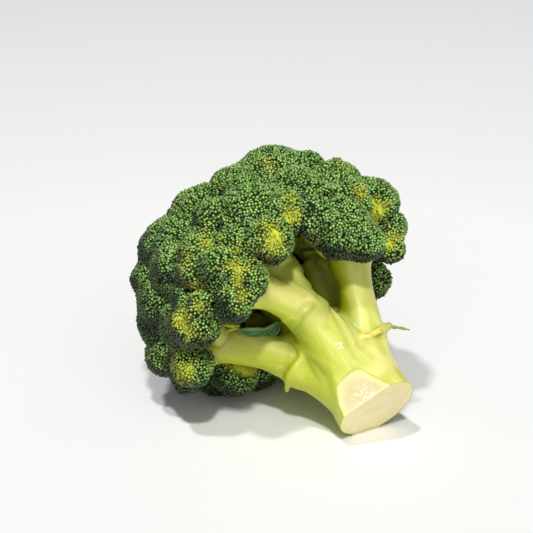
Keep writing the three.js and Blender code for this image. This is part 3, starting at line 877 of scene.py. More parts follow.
@dataclass
class GrownField:
    """A grid of distances to a surface that limbs are grown into.

    Attributes:
        low: The grid's lowest corner.
        high: Its highest corner.
        step: The distance between neighbouring points.
    """

    low: Array
    high: Array
    step: float
    values: Array = field(init=False)

    def __post_init__(self) -> None:
        """Start with an empty grid."""
        shape = np.ceil((self.high - self.low) / self.step).astype(int) + 1
        self.values = np.full(shape, FAR, dtype=np.float32)

    def window(self, low: Array, high: Array) -> tuple[slice, slice, slice]:
        """Find the part of the grid that covers a box.

        Args:
            low: The box's lowest corner.
            high: Its highest corner.

        Returns:
            The part, as a slice in each direction.
        """
        first = np.floor((low - self.low) / self.step).astype(int)
        last = np.ceil((high - self.low) / self.step).astype(int) + 1
        first = np.clip(first, 0, self.values.shape)
        last = np.clip(last, 0, self.values.shape)
        return tuple(slice(a, b) for a, b in zip(first, last))

    def points(self, window: tuple[slice, slice, slice]) -> Array:
        """Give the places of a part of the grid.

        Args:
            window: The part.

        Returns:
            Its points, with their three numbers last.
        """
        axes = [self.low[k] + self.step * np.arange(part.start, part.stop)
                for k, part in enumerate(window)]
        return np.stack(np.meshgrid(*axes, indexing="ij"), axis=-1)

    def limb_distance(self, limb: Limb) -> tuple[tuple, Array]:
        """Measure the grid against a limb, near it.

        Args:
            limb: The limb.

        Returns:
            The part of the grid that is near, and its distances to the limb's surface.
        """
        spare = limb.merge + 2 * self.step
        margin = limb.width.max() * (1 + limb.ribs) + spare
        whole = self.window(limb.axis.min(axis=0) - margin, limb.axis.max(axis=0) + margin)
        own = np.full([part.stop - part.start for part in whole], FAR, dtype=np.float32)
        for k in range(len(limb.axis) - 1):
            ends = limb.axis[k:k + 2]
            reach = max(limb.width[k:k + 2]) * (1 + limb.ribs) + spare
            part = self.window(ends.min(axis=0) - reach, ends.max(axis=0) + reach)
            local = tuple(slice(max(p.start - w.start, 0), p.stop - w.start)
                          for p, w in zip(part, whole))
            distance, _, _ = limb.piece(k, self.points(part))
            own[local] = np.minimum(own[local], distance)
        if limb.flat_ends:
            own = np.maximum(own, limb.beyond_ends(self.points(whole)))
        return whole, own

    def grow(self, limb: Limb) -> None:
        """Join a limb to what is there, with a smooth fillet between them.

        Args:
            limb: The limb.
        """
        window, own = self.limb_distance(limb)
        there = self.values[window]
        share = np.clip(0.5 + 0.5 * (there - own) / limb.merge, 0.0, 1.0)
        joined = there * (1 - share) + own * share - limb.merge * share * (1 - share)
        self.values[window] = np.where(there > FAR / 2, own, joined)

    def settle(self, points: Array, times: int = 8) -> Array:
        """Bring points near the surface onto it.

        Args:
            points: The points, one to a row.
            times: How often they are moved closer.

        Returns:
            The points on the surface.
        """
        for _ in range(times):
            points = points - self.at(points)[:, None] * self.slope(points)
        return points

    def raise_line(self, line: Array, width: float, rise: float) -> None:
        """Let the surface out along a line, or draw it in where the rise is negative.

        Args:
            line: Points close together along the line.
            width: How far to each side the change reaches.
            rise: How far the surface moves.
        """
        margin = 2.2 * width + self.step
        window = self.window(line.min(axis=0) - margin, line.max(axis=0) + margin)
        away = line_distance(self.points(window), line)
        self.values[window] -= (rise * np.exp(-(away / width) ** 2)).astype(np.float32)

    def at(self, points: Array) -> Array:
        """Read the grid between its points, in straight lines.

        Args:
            points: Places, one to a row.

        Returns:
            The value at each.
        """
        place = (points - self.low) / self.step
        corner = np.clip(np.floor(place).astype(int), 0, np.array(self.values.shape) - 2)
        share = place - corner
        total = np.zeros(len(points))
        for shift in CORNERS:
            weight = np.abs(1 - np.array(shift) - share).prod(axis=1)
            total += weight * self.values[tuple((corner + shift).T)]
        return total

    def slope(self, points: Array) -> Array:
        """Give the direction in which the distance grows.

        Args:
            points: Places, one to a row.

        Returns:
            A unit vector for each.
        """
        shifts = np.eye(3) * self.step
        columns = [self.at(points + shift) - self.at(points - shift) for shift in shifts]
        return unit(np.stack(columns, axis=-1))

    def surface(self) -> tuple[Array, Array]:
        """Cover the zero surface with four-sided faces.

        Returns:
            Points, one to a row, and faces of four point numbers that face outwards.
        """
        inside = self.values < 0
        size = np.array(inside.shape) - 1
        count = np.zeros(size, dtype=np.int8)
        for a, b, c in CORNERS:
            count += inside[a:a + size[0], b:b + size[1], c:c + size[2]]
        cells = np.argwhere((count > 0) & (count < len(CORNERS)))
        number = np.full(size, -1, dtype=np.int64)
        number[tuple(cells.T)] = np.arange(len(cells))
        faces = [self.faces_across(axis, inside, number) for axis in range(3)]
        return self.low + self.step * self.crossing(cells), np.vstack(faces)

    def crossing(self, cells: Array) -> Array:
        """Find where the surface passes through cells of the grid.

        Args:
            cells: The cells' lowest corners, as grid numbers, one to a row.

        Returns:
            For each cell, the mean of the places where the surface meets its edges, in steps.
        """
        total = np.zeros((len(cells), 3))
        crossings = np.zeros(len(cells))
        for first, axis in product(CORNERS, range(3)):
            if first[axis]:
                continue
            start = cells + np.array(first)
            end = start + np.eye(3, dtype=int)[axis]
            v0 = self.values[tuple(start.T)].astype(float)
            v1 = self.values[tuple(end.T)].astype(float)
            crosses = (v0 < 0) != (v1 < 0)
            share = np.where(crosses, v0 / np.where(crosses, v0 - v1, 1.0), 0.0)
            point = start + share[:, None] * (end - start)
            total += point * crosses[:, None]
            crossings += crosses
        return total / crossings[:, None]

    @staticmethod
    def faces_across(axis: int, inside: Array, number: Array) -> Array:
        """Put a face across each grid edge in one direction that the surface crosses.

        Args:
            axis: The direction.
            inside: Whether each grid point is inside.
            number: For each cell, the number of its point.

        Returns:
            The faces, one to a row.
        """
        u, v = (axis + 1) % 3, (axis + 2) % 3
        near = np.take(inside, range(inside.shape[axis] - 1), axis)
        far = np.take(inside, range(1, inside.shape[axis]), axis)
        edges = np.argwhere(near != far)
        edges = edges[(edges[:, u] > 0) & (edges[:, v] > 0)
                      & (edges[:, u] < number.shape[u]) & (edges[:, v] < number.shape[v])]
        leaving = near[tuple(edges.T)]
        ring = []
        for du, dv in ((0, 0), (-1, 0), (-1, -1), (0, -1)):
            cell = edges.copy()
            cell[:, u] += du
            cell[:, v] += dv
            ring.append(number[tuple(cell.T)])
        ring = np.stack(ring, axis=-1)
        return np.where(leaving[:, None], ring, ring[:, ::-1])


@dataclass(frozen=True)
class Mark:
    """A ridge or a groove along a line on the stalk's skin.

    Attributes:
        path: Height, distance out and bearing of points on or near the skin.
        width: How far to each side it reaches.
        rise: How far it stands out, or below zero how deep it is.
        worn: How yellow and scarred it is, from 0 to 1.
        wet: How wet it is, from 0 to 1.
    """

    path: tuple
    width: float = 1.6
    rise: float = 0.0
    worn: float = 0.0
    wet: float = 0.0

    def line(self, skin: GrownField) -> Array:
        """Lay the line on the skin."""
        points = np.array([on_stem(*row) for row in self.path])
        return skin.settle(smooth_curve(points, 9) if len(points) > 1 else points)


STALK_MARKS = (
    # The collar round the centre branch, the groove under it and the nub at its end.
    Mark(((62.5, 30.8, -53), (62.6, 33.4, -46), (61.5, 34, -39), (59.1, 35, -31),
          (54.4, 35.5, -25)), width=1.8, rise=0.9, worn=0.25),
    Mark(((59.5, 31.5, -54), (59.8, 33, -46), (58.8, 33.8, -39), (56.5, 34.5, -31)),
         width=1.6, rise=-0.7),
    Mark(((60, 32.6, -48),), width=1.6, rise=0.5, worn=0.4),
    # The groove that runs down from the fork, and the fold under the leaf scar.
    Mark(((49.4, 30.4, -14), (41.7, 29.6, -18), (34, 26.9, -20), (26.6, 25.1, -26),
          (23.5, 24.6, -29)), width=2.0, rise=-1.3),
    Mark(((23.5, 25, -30), (28.2, 25.3, -23), (29.6, 25.3, -15), (29.9, 24.6, 0)),
         width=1.5, rise=0.6, worn=0.1),
    # The leaf scar on the right branch, and the groove under it.
    Mark(((29.9, 24.6, 0), (27.6, 28.2, 7), (26.3, 31.5, 17), (27.3, 32.9, 32)),
         width=1.8, rise=0.3, worn=1.0),
    Mark(((26.4, 26, -14), (26.8, 25.2, -4), (24.6, 28, 6), (22.5, 30, 15)),
         width=1.8, rise=-0.5),
    # The collar round the left branch, and the groove above it.
    Mark(((56.7, 16.1, -95), (51.9, 16.9, -84), (46.9, 18.7, -80), (43.4, 21.5, -85),
          (42.9, 23.7, -93), (42.5, 26.4, -104), (42, 28.5, -118), (41.5, 30, -132)),
         width=1.9, rise=1.3, worn=0.3),
    Mark(((54, 15, -98), (49.8, 18.6, -90), (46.6, 22.5, -92), (46, 25, -102),
          (45.8, 27.5, -116)), width=1.8, rise=-1.1),
    # The trunk under the left branch: a ridge, a hollow beside it and a swelling.
    Mark(((44, 20.5, -78), (39.2, 20.8, -73), (33, 23.4, -65), (27.4, 22.9, -62),
          (22, 21.6, -66)), width=1.8, rise=0.35),
    Mark(((40, 22, -88), (34, 23, -80), (28, 22.5, -78), (20, 21.5, -80)),
         width=5.0, rise=-0.9),
    Mark(((19, 21.5, -70), (15, 21.5, -78), (11, 21.5, -84)), width=4.5, rise=1.6),
    # A wet groove on the right branch, and a wet spot on the trunk.
    Mark(((64, 45.8, 17), (58.8, 41.1, 17), (53.7, 38.5, 17), (47.1, 35.9, 16),
          (42.2, 34.6, 17)), width=1.1, rise=-0.4, wet=0.3),
    Mark(((33.4, 27, -35), (30.9, 26.2, -35)), width=2.4, rise=0.2, wet=1.0),
    # The hollow between the centre and right branches, and a nick in the left one.
    Mark(((58, 27, 2), (50, 26, -2), (42, 25, -2), (34, 24, -6), (27, 23, -12)), width=3.0,
         rise=-1.2),
    Mark(((57, 34.6, -123), (53, 33.6, -126)), width=1.3, rise=-0.6),
)


@dataclass(frozen=True)
class Cut:
    """A plane that the stalk ends at, either all of it or an oval part.

    Attributes:
        normal: The plane's direction, towards the stalk.
        offset: How far along that direction it lies.
        middle: The oval's middle.
        along: The direction of the first half size.
        half_size: Half the oval's size in both directions, or nothing for a whole plane.
    """

    normal: Array
    offset: float
    middle: Array | None = None
    along: Array | None = None
    half_size: tuple = ()

    def inside(self, points: Array) -> Array:
        """Tell how far inside the oval places are.

        Args:
            points: The places, with their three numbers last.

        Returns:
            The distances, which are below 0 outside the oval.
        """
        if not self.half_size:
            return np.full(points.shape[:-1], FAR)
        from_middle = points - self.middle
        across = from_middle @ np.cross(self.normal, self.along) / self.half_size[1]
        share = np.hypot(from_middle @ self.along / self.half_size[0], across)
        return (1 - share) * min(self.half_size)

    def height(self, points: Array) -> Array:
        """Give how far on the stalk's side of the plane places are."""
        return points @ self.normal - self.offset

    def beyond(self, points: Array) -> Array:
        """Tell how deep in the part that is cut away each place is."""
        return np.minimum(-self.height(points), self.inside(points))


@dataclass
class Stalk:
    """The trunk with its branches, the branchlets that carry the florets, and the knife's cuts.

    A limb is a bearing, then stations of height, distance out, radius and, where it has one,
    a turn of the bearing. A scar's rows are height, distance out, bearing and radius.

    Attributes:
        name: What the finished piece is called.
        node: The node that it replaces.
        step: The distance between neighbouring points of its grid.
        margin: How far the grid reaches past the node's box.
        cut_drop: How far below height 0 the main cut crosses the stem's axis.
        cut_tilt: The bearing that the main cut leans towards, and its angle.
        bevel_middle: Height, distance out and bearing of the second cut's middle.
        bevel_angle: Degrees between the second cut and the stem's cross section.
        bevel_half_size: Half the length and half the width of the second cut's oval.
        branchlet_radii: A branchlet's radii, from its branch to its floret.
        ribs: How far a limb stands in and out round it, as a share of its radius.
        branchlet_ribs: The same for a branchlet.
        limb_merge: How widely a branch runs into the others.
        branchlet_merge: How widely a branchlet runs into its branch.
        scar_merge: How widely a scar runs into its branch.
        sharp_angle: Degrees past which an edge of a cut is sharp.
        trunk: The trunk's limb.
        branches: The branches' limbs.
        scars: Ridges where leaves were cut away.
        marks: Finer ridges, grooves and wet spots.
    """

    name: str = "stalk_skin"
    node: str = "stalk"
    step: float = 0.95
    margin: float = 4.0
    cut_drop: float = 0.85
    cut_tilt: tuple[float, float] = (89, 13.3)
    bevel_middle: tuple[float, float, float] = (5.25, 18.24, -54)
    bevel_angle: float = 72
    bevel_half_size: tuple = (17.0, 14.0)
    branchlet_radii: tuple = (7, 6, 5.6, 7.4)
    ribs: float = 0.04
    branchlet_ribs: float = 0.05
    limb_merge: float = 6.5
    branchlet_merge: float = 5.0
    scar_merge: float = 2.2
    sharp_angle: float = 38
    trunk: tuple = (-138, ((-14, 2, 22.8), (0, 2, 22.8), (10, 0.5, 21), (24, 0, 20.5),
                           (36, 0, 20.5), (48, 0, 18.5), (60, 0, 14)))
    branches: dict = field(default_factory=lambda: {
        "left": (-125, ((10, 2, 15), (26, 7, 15), (40, 13.5, 13.6), (44, 16, 14.3),
                        (48, 18, 12.4), (62, 26, 10), (76, 37, 9.5), (87, 47, 10))),
        "centre": (-30, ((4, 1, 16), (22, 8, 16), (38, 14, 14.3), (53, 22, 11.6, -5),
                         (57, 24, 11.8, -7), (60, 25, 9.8, -6), (75, 27, 9.2, -1),
                         (90, 24, 10, 8), (100, 20, 11))),
        "right": (30, ((4, 2, 13), (20, 11.5, 12.8), (30, 18.5, 12), (40, 24.5, 11),
                       (52, 32, 9.8), (62, 38.5, 10), (70, 43, 12.5))),
        "back": (78, ((26, 6, 12), (46, 14, 10.5), (60, 20, 9), (76, 26, 8.5), (89, 33, 9))),
        "far": (142, ((22, 6, 12), (42, 16, 10.5), (56, 26, 9.5), (70, 37, 9), (82, 45, 9))),
        "low": (-172, ((30, 6, 11), (50, 15, 9.5), (64, 26, 9), (76, 36, 9))),
        "core": (180, ((40, 0, 14), (60, 2, 12), (76, 4, 11), (92, 4, 10.5), (106, 0, 10))),
    })
    scars: tuple = (
        ((28, 23, -4, 1.4), (27, 30, 14, 1.9), (28, 31, 32, 2.1), (29.5, 33.5, 46, 2.2)),
        ((45, 17, -98, 1.2), (44, 25, -124, 1.5), (43, 31, -146, 1.8), (42.5, 33, -150, 1.1)),
    )
    marks: tuple = STALK_MARKS
    finish: StalkFinish = StalkFinish()

    def limbs(self, florets: "list[FloretPlan]") -> list[Limb]:
        """Give every limb, the thickest first.

        Args:
            florets: The plans of the florets that branchlets carry.

        Returns:
            The trunk, the branches and the branchlets.
        """
        made = []
        for bearing, stations in (self.trunk, *self.branches.values()):
            points = np.array([on_stem(height, out, bearing + sum(turn))
                               for height, out, _, *turn in stations])
            radii = np.array([station[2] for station in stations], dtype=float)
            made.append(Limb(points, radii, self.ribs, self.limb_merge))
        carriers = dict(zip(self.branches, made[1:]))
        return made + [self.branchlet(plan, carriers[plan.branch]) for plan in florets]

    def branchlet(self, plan: "FloretPlan", carrier: Limb) -> Limb:
        """Grow a branchlet: it leaves its branch along it, then flares towards its floret.

        Args:
            plan: The floret's plan.
            carrier: The branch that it leaves.

        Returns:
            The branchlet.
        """
        samples = 40
        dense = smooth_curve(carrier.points, samples)
        at = int(round(plan.fork * (len(carrier.points) - 1) * samples))
        root = dense[at]
        along = unit(dense[min(at + 1, len(dense) - 1)] - dense[max(at - 1, 0)])
        seat = np.array(plan.seat)
        # It follows its branch for a third of the way before it bends.
        bend = root + along * np.linalg.norm(seat - root) * 0.35
        middle = bend + (seat - bend) * 0.45
        lower = root + (middle - root) * 0.5
        lower = lower + (bend - lower) * 0.35
        points = np.array([root, lower, middle, seat])
        radii = np.array(self.branchlet_radii) * plan.girth
        return Limb(points, radii, self.branchlet_ribs, self.branchlet_merge, spans=6)

    def cuts(self) -> list[Cut]:
        """Place the planes that the stalk ends at.

        Returns:
            The knife's main cut and second cut, and the floor that the stalk rests on.
        """
        face = cross_plane(*self.cut_tilt)
        bevel = cross_plane(self.bevel_middle[2], -self.bevel_angle)
        middle = on_stem(*self.bevel_middle)
        return [Cut(face, face.dot(on_stem(-self.cut_drop, 0, 0))),
                Cut(bevel, bevel.dot(middle), middle, unit(np.cross(bevel, face)),
                    self.bevel_half_size),
                Cut(np.array([0.0, 0.0, 1.0]), 0.0)]

    def crisp(self, vertices: Array, skin: GrownField) -> Array:
        """Pull the points beside a cut onto its plane, and those of its rim onto the skin too.

        Args:
            vertices: The cut stalk's points.
            skin: The stalk before it was cut.

        Returns:
            The points, with crisp edges at the cuts.
        """
        reach = 0.9 * self.step
        for cut in self.cuts():
            rise = cut.height(vertices)
            near = (np.abs(rise) < reach) & (cut.inside(vertices) > reach)
            depth = skin.at(vertices)
            on_face = near & (depth < -reach)
            on_rim = near & (np.abs(depth) <= reach)
            vertices[on_face] -= rise[on_face, None] * cut.normal
            rim = vertices[on_rim]
            for _ in range(4):
                rim = skin.settle(rim, 1)
                rim = rim - cut.height(rim)[:, None] * cut.normal
            vertices[on_rim] = rim
        return vertices

    @staticmethod
    def fibres(vertices: Array, limbs: list[Limb]) -> tuple[Array, Array]:
        """Find how the fibres run, and where two limbs meet.

        Args:
            vertices: Places on the stalk.
            limbs: Its limbs.

        Returns:
            The place round and along the nearest limb, which the fibres follow, and how much
            further off the second limb is, in millimetres.
        """
        best = np.full(len(vertices), FAR)
        second = np.full(len(vertices), FAR)
        grain = np.zeros((len(vertices), 3))
        for number, limb in enumerate(limbs):
            margin = limb.width.max() * 1.3 + 4
            near = np.all((vertices > limb.axis.min(axis=0) - margin)
                          & (vertices < limb.axis.max(axis=0) + margin), axis=1)
            chosen = np.flatnonzero(near)
            points = vertices[chosen]
            own = np.full(len(chosen), FAR)
            place = np.zeros((len(chosen), 3))
            for k in range(len(limb.axis) - 1):
                distance, along, round_it = limb.piece(k, points)
                closer = distance < own
                own = np.where(closer, distance, own)
                here = np.stack([round_it.real * limb.width[k], round_it.imag * limb.width[k],
                                 along * 0.12 + number * 37.0], axis=-1)
                place = np.where(closer[:, None], here, place)
            wins = own < best[chosen]
            second[chosen] = np.where(wins, best[chosen], np.minimum(second[chosen], own))
            best[chosen] = np.where(wins, own, best[chosen])
            grain[chosen] = np.where(wins[:, None], place, grain[chosen])
        return grain, np.maximum(second - best, 0.0)

    def describe(self, mesh: bpy.types.Mesh, limbs: list[Limb], skin: GrownField,
                 lines: list[Array]) -> None:
        """Keep on the mesh how the fibres run, where it is creased, cut, scarred and wet, and its
        painted light, shade and highlight.

        Args:
            mesh: The stalk's mesh.
            limbs: Its limbs.
            skin: The stalk before it was cut.
            lines: The lines of its marks, on the skin.
        """
        vertices = vertex_points(mesh)
        grain, between = self.fibres(vertices, limbs)
        # Painted shade for the forks where two limbs meet and for the nooks that other parts close
        # in on.
        forks = smoothstep(20, 34, stem_height(vertices)) * np.exp(-between / 0.9)
        store(mesh, grain=grain, seam=smoothstep(2.6, 0.6, between),
              crease=np.clip(forks + 1.5 * self.nooks(mesh, skin), 0.0, 1.0))
        # Painted light: tone is mostly how far the skin faces the lit side; on the side away it is
        # a little paler near the cut end.
        lit = smoothstep(-0.5, 0.85, vertex_normals(mesh) @ unit(LIT_SKIN_SIDE))
        low = smoothstep(60, 20, stem_height(vertices))
        store(mesh, tone=0.85 * lit + 0.15 * np.where(lit > 0.3, 1.0, low))
        depth = np.maximum(-skin.at(vertices), 0.0)
        to_face, to_bevel = (np.abs(cut.height(vertices)) + FAR * (cut.inside(vertices) < -0.6)
                             for cut in self.cuts()[:2])
        # ridge marks the edge where the two cuts meet, for its painted highlight.
        store(mesh, depth=np.where(to_bevel < 0.3, 1.4, 1.0) * depth,
              ridge=np.exp(-(np.maximum(to_face, to_bevel) / 1.1) ** 2))
        scar = np.zeros(len(vertices))
        beaded = np.linalg.norm(vertices - on_stem(*self.bevel_middle), axis=1) / 6.5
        wet = (0.3 + 0.7 * np.exp(-beaded**2)) * (to_bevel < 0.05) * smoothstep(0.5, 2.5, depth)
        for mark, line in zip(self.marks, lines):
            if mark.worn or mark.wet:
                near = np.exp(-(line_distance(vertices, line) / (1.1 * mark.width)) ** 2)
                scar = np.maximum(scar, mark.worn * near)
                wet = np.maximum(wet, mark.wet * near)
        store(mesh, scar=scar, wet=wet)

    @staticmethod
    def nooks(mesh: bpy.types.Mesh, skin: GrownField) -> Array:
        """Tell how far other parts of the stalk close in on each place.

        Args:
            mesh: The stalk's mesh.
            skin: The stalk before it was cut.

        Returns:
            A share for each point, 0 being open and 1 closed in.
        """
        vertices, normals = vertex_points(mesh), vertex_normals(mesh)
        low, high = skin.low + 1, skin.high - 1
        distances = (4.0, 8.0, 13.0)
        closed = np.zeros(len(vertices))
        for distance in distances:
            over = vertices + normals * distance
            known = np.all((over > low) & (over < high), axis=1)
            share = 1 - skin.at(np.clip(over, low, high)) / distance
            closed += known * np.clip(share, 0.0, 1.0) / len(distances)
        return closed

    def cut_off(self, skin: GrownField) -> tuple[Array, Array]:
        """Cut the stalk where the knife went through and where it rests.

        Args:
            skin: The stalk before it was cut.

        Returns:
            The cut stalk's points and faces.
        """
        cut = GrownField(skin.low, skin.high, skin.step)
        cut.values = skin.values.copy()
        whole = cut.points(cut.window(cut.low, cut.high))
        for knife in self.cuts():
            cut.values = np.maximum(cut.values, knife.beyond(whole)).astype(np.float32)
        vertices, faces = cut.surface()
        vertices = self.crisp(vertices, skin)
        vertices[:, 2] = np.maximum(vertices[:, 2], 0.0)
        return vertices, faces

    def build(self, florets: "list[FloretPlan]") -> None:
        """Grow the stalk, cut it and dress it.

        Args:
            florets: The plans of the florets that it carries.
        """
        low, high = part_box(self.node)
        skin = GrownField(np.array(low) / MM - self.margin, np.array(high) / MM + self.margin,
                          self.step)
        limbs = self.limbs(florets)
        for limb in limbs:
            skin.grow(limb)
        for scar in self.scars:
            points = np.array([on_stem(*row[:3]) for row in scar])
            radii = np.array([row[3] for row in scar])
            skin.grow(Limb(points, radii, 0.0, self.scar_merge, spans=5, flat_ends=False))
        lines = [mark.line(skin) for mark in self.marks]
        for mark, line in zip(self.marks, lines):
            if mark.rise:
                skin.raise_line(line, mark.width, mark.rise)
        stalk = make_object(self.name, *self.cut_off(skin))
        self.describe(stalk.data, limbs, skin, lines)
        stalk.data.set_sharp_from_angle(angle=math.radians(self.sharp_angle))
        stalk.data.materials.append(self.finish.material())
        hand_over(stalk, self.node)


# ---- Florets -----------------------------------------------------------------


@dataclass(frozen=True)
class FloretPlan:
    """Where a floret grows.

    Attributes:
        node: The floret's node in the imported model.
        branch: The branch that carries it.
        fork: How far along that branch its branchlet leaves, as a share.
        seat: Where the branchlet ends, in millimetres.
        girth: How much thicker than usual the branchlet is.
    """

    node: str
    branch: str
    fork: float
    seat: tuple[float, float, float]
    girth: float = 1.0


# Each floret's name, its branch, fork and seat, and its girth where that is not usual.
FLORETS = [FloretPlan("floret_" + name, *plan) for name, *plan in (
    ("top", "centre", 0.9, (-13.2, 3.1, 109.4)),
    ("upper", "right", 0.95, (12.9, 11.5, 111.2)),
    ("upper_right", "right", 0.85, (23.7, 37.7, 107.6)),
    ("right", "back", 0.8, (34.9, 36, 95.5)),
    ("right_low", "back", 0.45, (19, 47.5, 66.6)),
    ("front_right", "right", 0.9, (29.3, 1, 103.5)),
    ("front", "centre", 0.8, (10.7, -25.9, 106.4), 1.35),
    ("upper_left", "centre", 0.95, (-23.8, -19.9, 101.8)),
    ("left", "left", 0.95, (-31, -35.6, 88.1)),
    ("left_mid", "left", 1, (-36.6, -42.2, 65.9)),
    ("inner", "centre", 0.7, (-7.4, -49.1, 94.4), 1.25),
    ("front_low", "centre", 0.42, (13.2, -47.3, 89), 1.6),
    ("left_low", "left", 0.85, (-5.5, -53.9, 72.5)),
    ("corner", "left", 0.8, (-20.9, -42.7, 38.1)),
    ("shade", "low", 0.8, (-15.1, -18.2, 27.2)),
    ("far_top", "core", 0.95, (-33.5, 22.1, 100.3)),
    ("far_crown", "core", 0.95, (-42.5, 2.1, 72.4)),
    ("far_upper", "back", 1, (-9.2, 35.7, 83.3)),
    ("far_back", "back", 0.8, (1.8, 48.9, 50.8)),
    ("far_mid", "far", 1, (-31.6, 34.1, 57)),
    ("far_side", "far", 0.9, (-19.2, 42.9, 35.5)),
    ("far_base", "far", 0.9, (-42.8, 13.3, 32.7)),
    ("far_low", "low", 0.9, (-20.8, 17, 27)),
    ("base", "low", 1, (-44.9, -15.4, 48.5)),
    ("base_low", "low", 1, (-33.4, -10.6, 19.4)),
)]

# Where clusters stand apart and the pale stems between them show: place, radius and how far
# they stand apart, from 0 where the buds are only yellower to 1 where the stems are bare.
PALE_PATCHES = np.array([
    (30.3, -42.6, 121.2, 4, 0.8),
    (31.8, -43.5, 117.5, 4.5, 1),
    (33, -43.4, 114.1, 3.5, 0.9),
    (26.6, -40, 124, 5, 0.55),
    (28.6, -28.5, 126.5, 3.8, 1),
    (30.7, -27.7, 124.6, 3.6, 0.9),
    (26, -24.8, 134.2, 3.6, 0.6),
    (23.5, 12.6, 124.2, 4, 0.8),
    (35.6, 22.9, 129.4, 4, 0.8),
    (39.3, 33.7, 118.7, 4.6, 0.95),
    (39.3, 31.4, 110.7, 4.6, 0.95),
    (36.8, 30.1, 113.9, 4.6, 0.8),
    (49.3, 38.4, 103.2, 4, 0.7),
    (50.2, 31, 100.7, 4.5, 0.8),
    (-2.9, -56.4, 110.8, 5, 0.7),
    (-0.2, -64.7, 91.2, 5, 0.7),
    (-9.8, -65, 101.6, 6, 0.3),
    (18.5, -59.5, 105.3, 5, 0.6),
    (14.8, -50.5, 107.9, 4, 0.6),
    (23, -60, 104.9, 4.5, 0.8),
    (24.2, -62.7, 99.6, 5, 0.7),
    (27.5, -62, 92.2, 4, 0.5),
    (-0.6, -78.4, 74.8, 5, 0.85),
    (4.1, -77.4, 71.4, 5, 0.6),
    (7, -74.2, 83.3, 3.5, 0.6),
    (-11.6, -65.6, 51.7, 5, 0.5),
    (-10.8, -74, 42, 7, 0.6),
    (-4.4, -72, 45.1, 5, 0.6),
    (31.2, -16.3, 109.5, 5, 0.5),
    (-9.4, -0.6, 140.3, 5, 0.25),
    (1.3, 9.5, 133.5, 5, 0.35),
    (16.5, 32.2, 137.8, 4, 0.3),
])


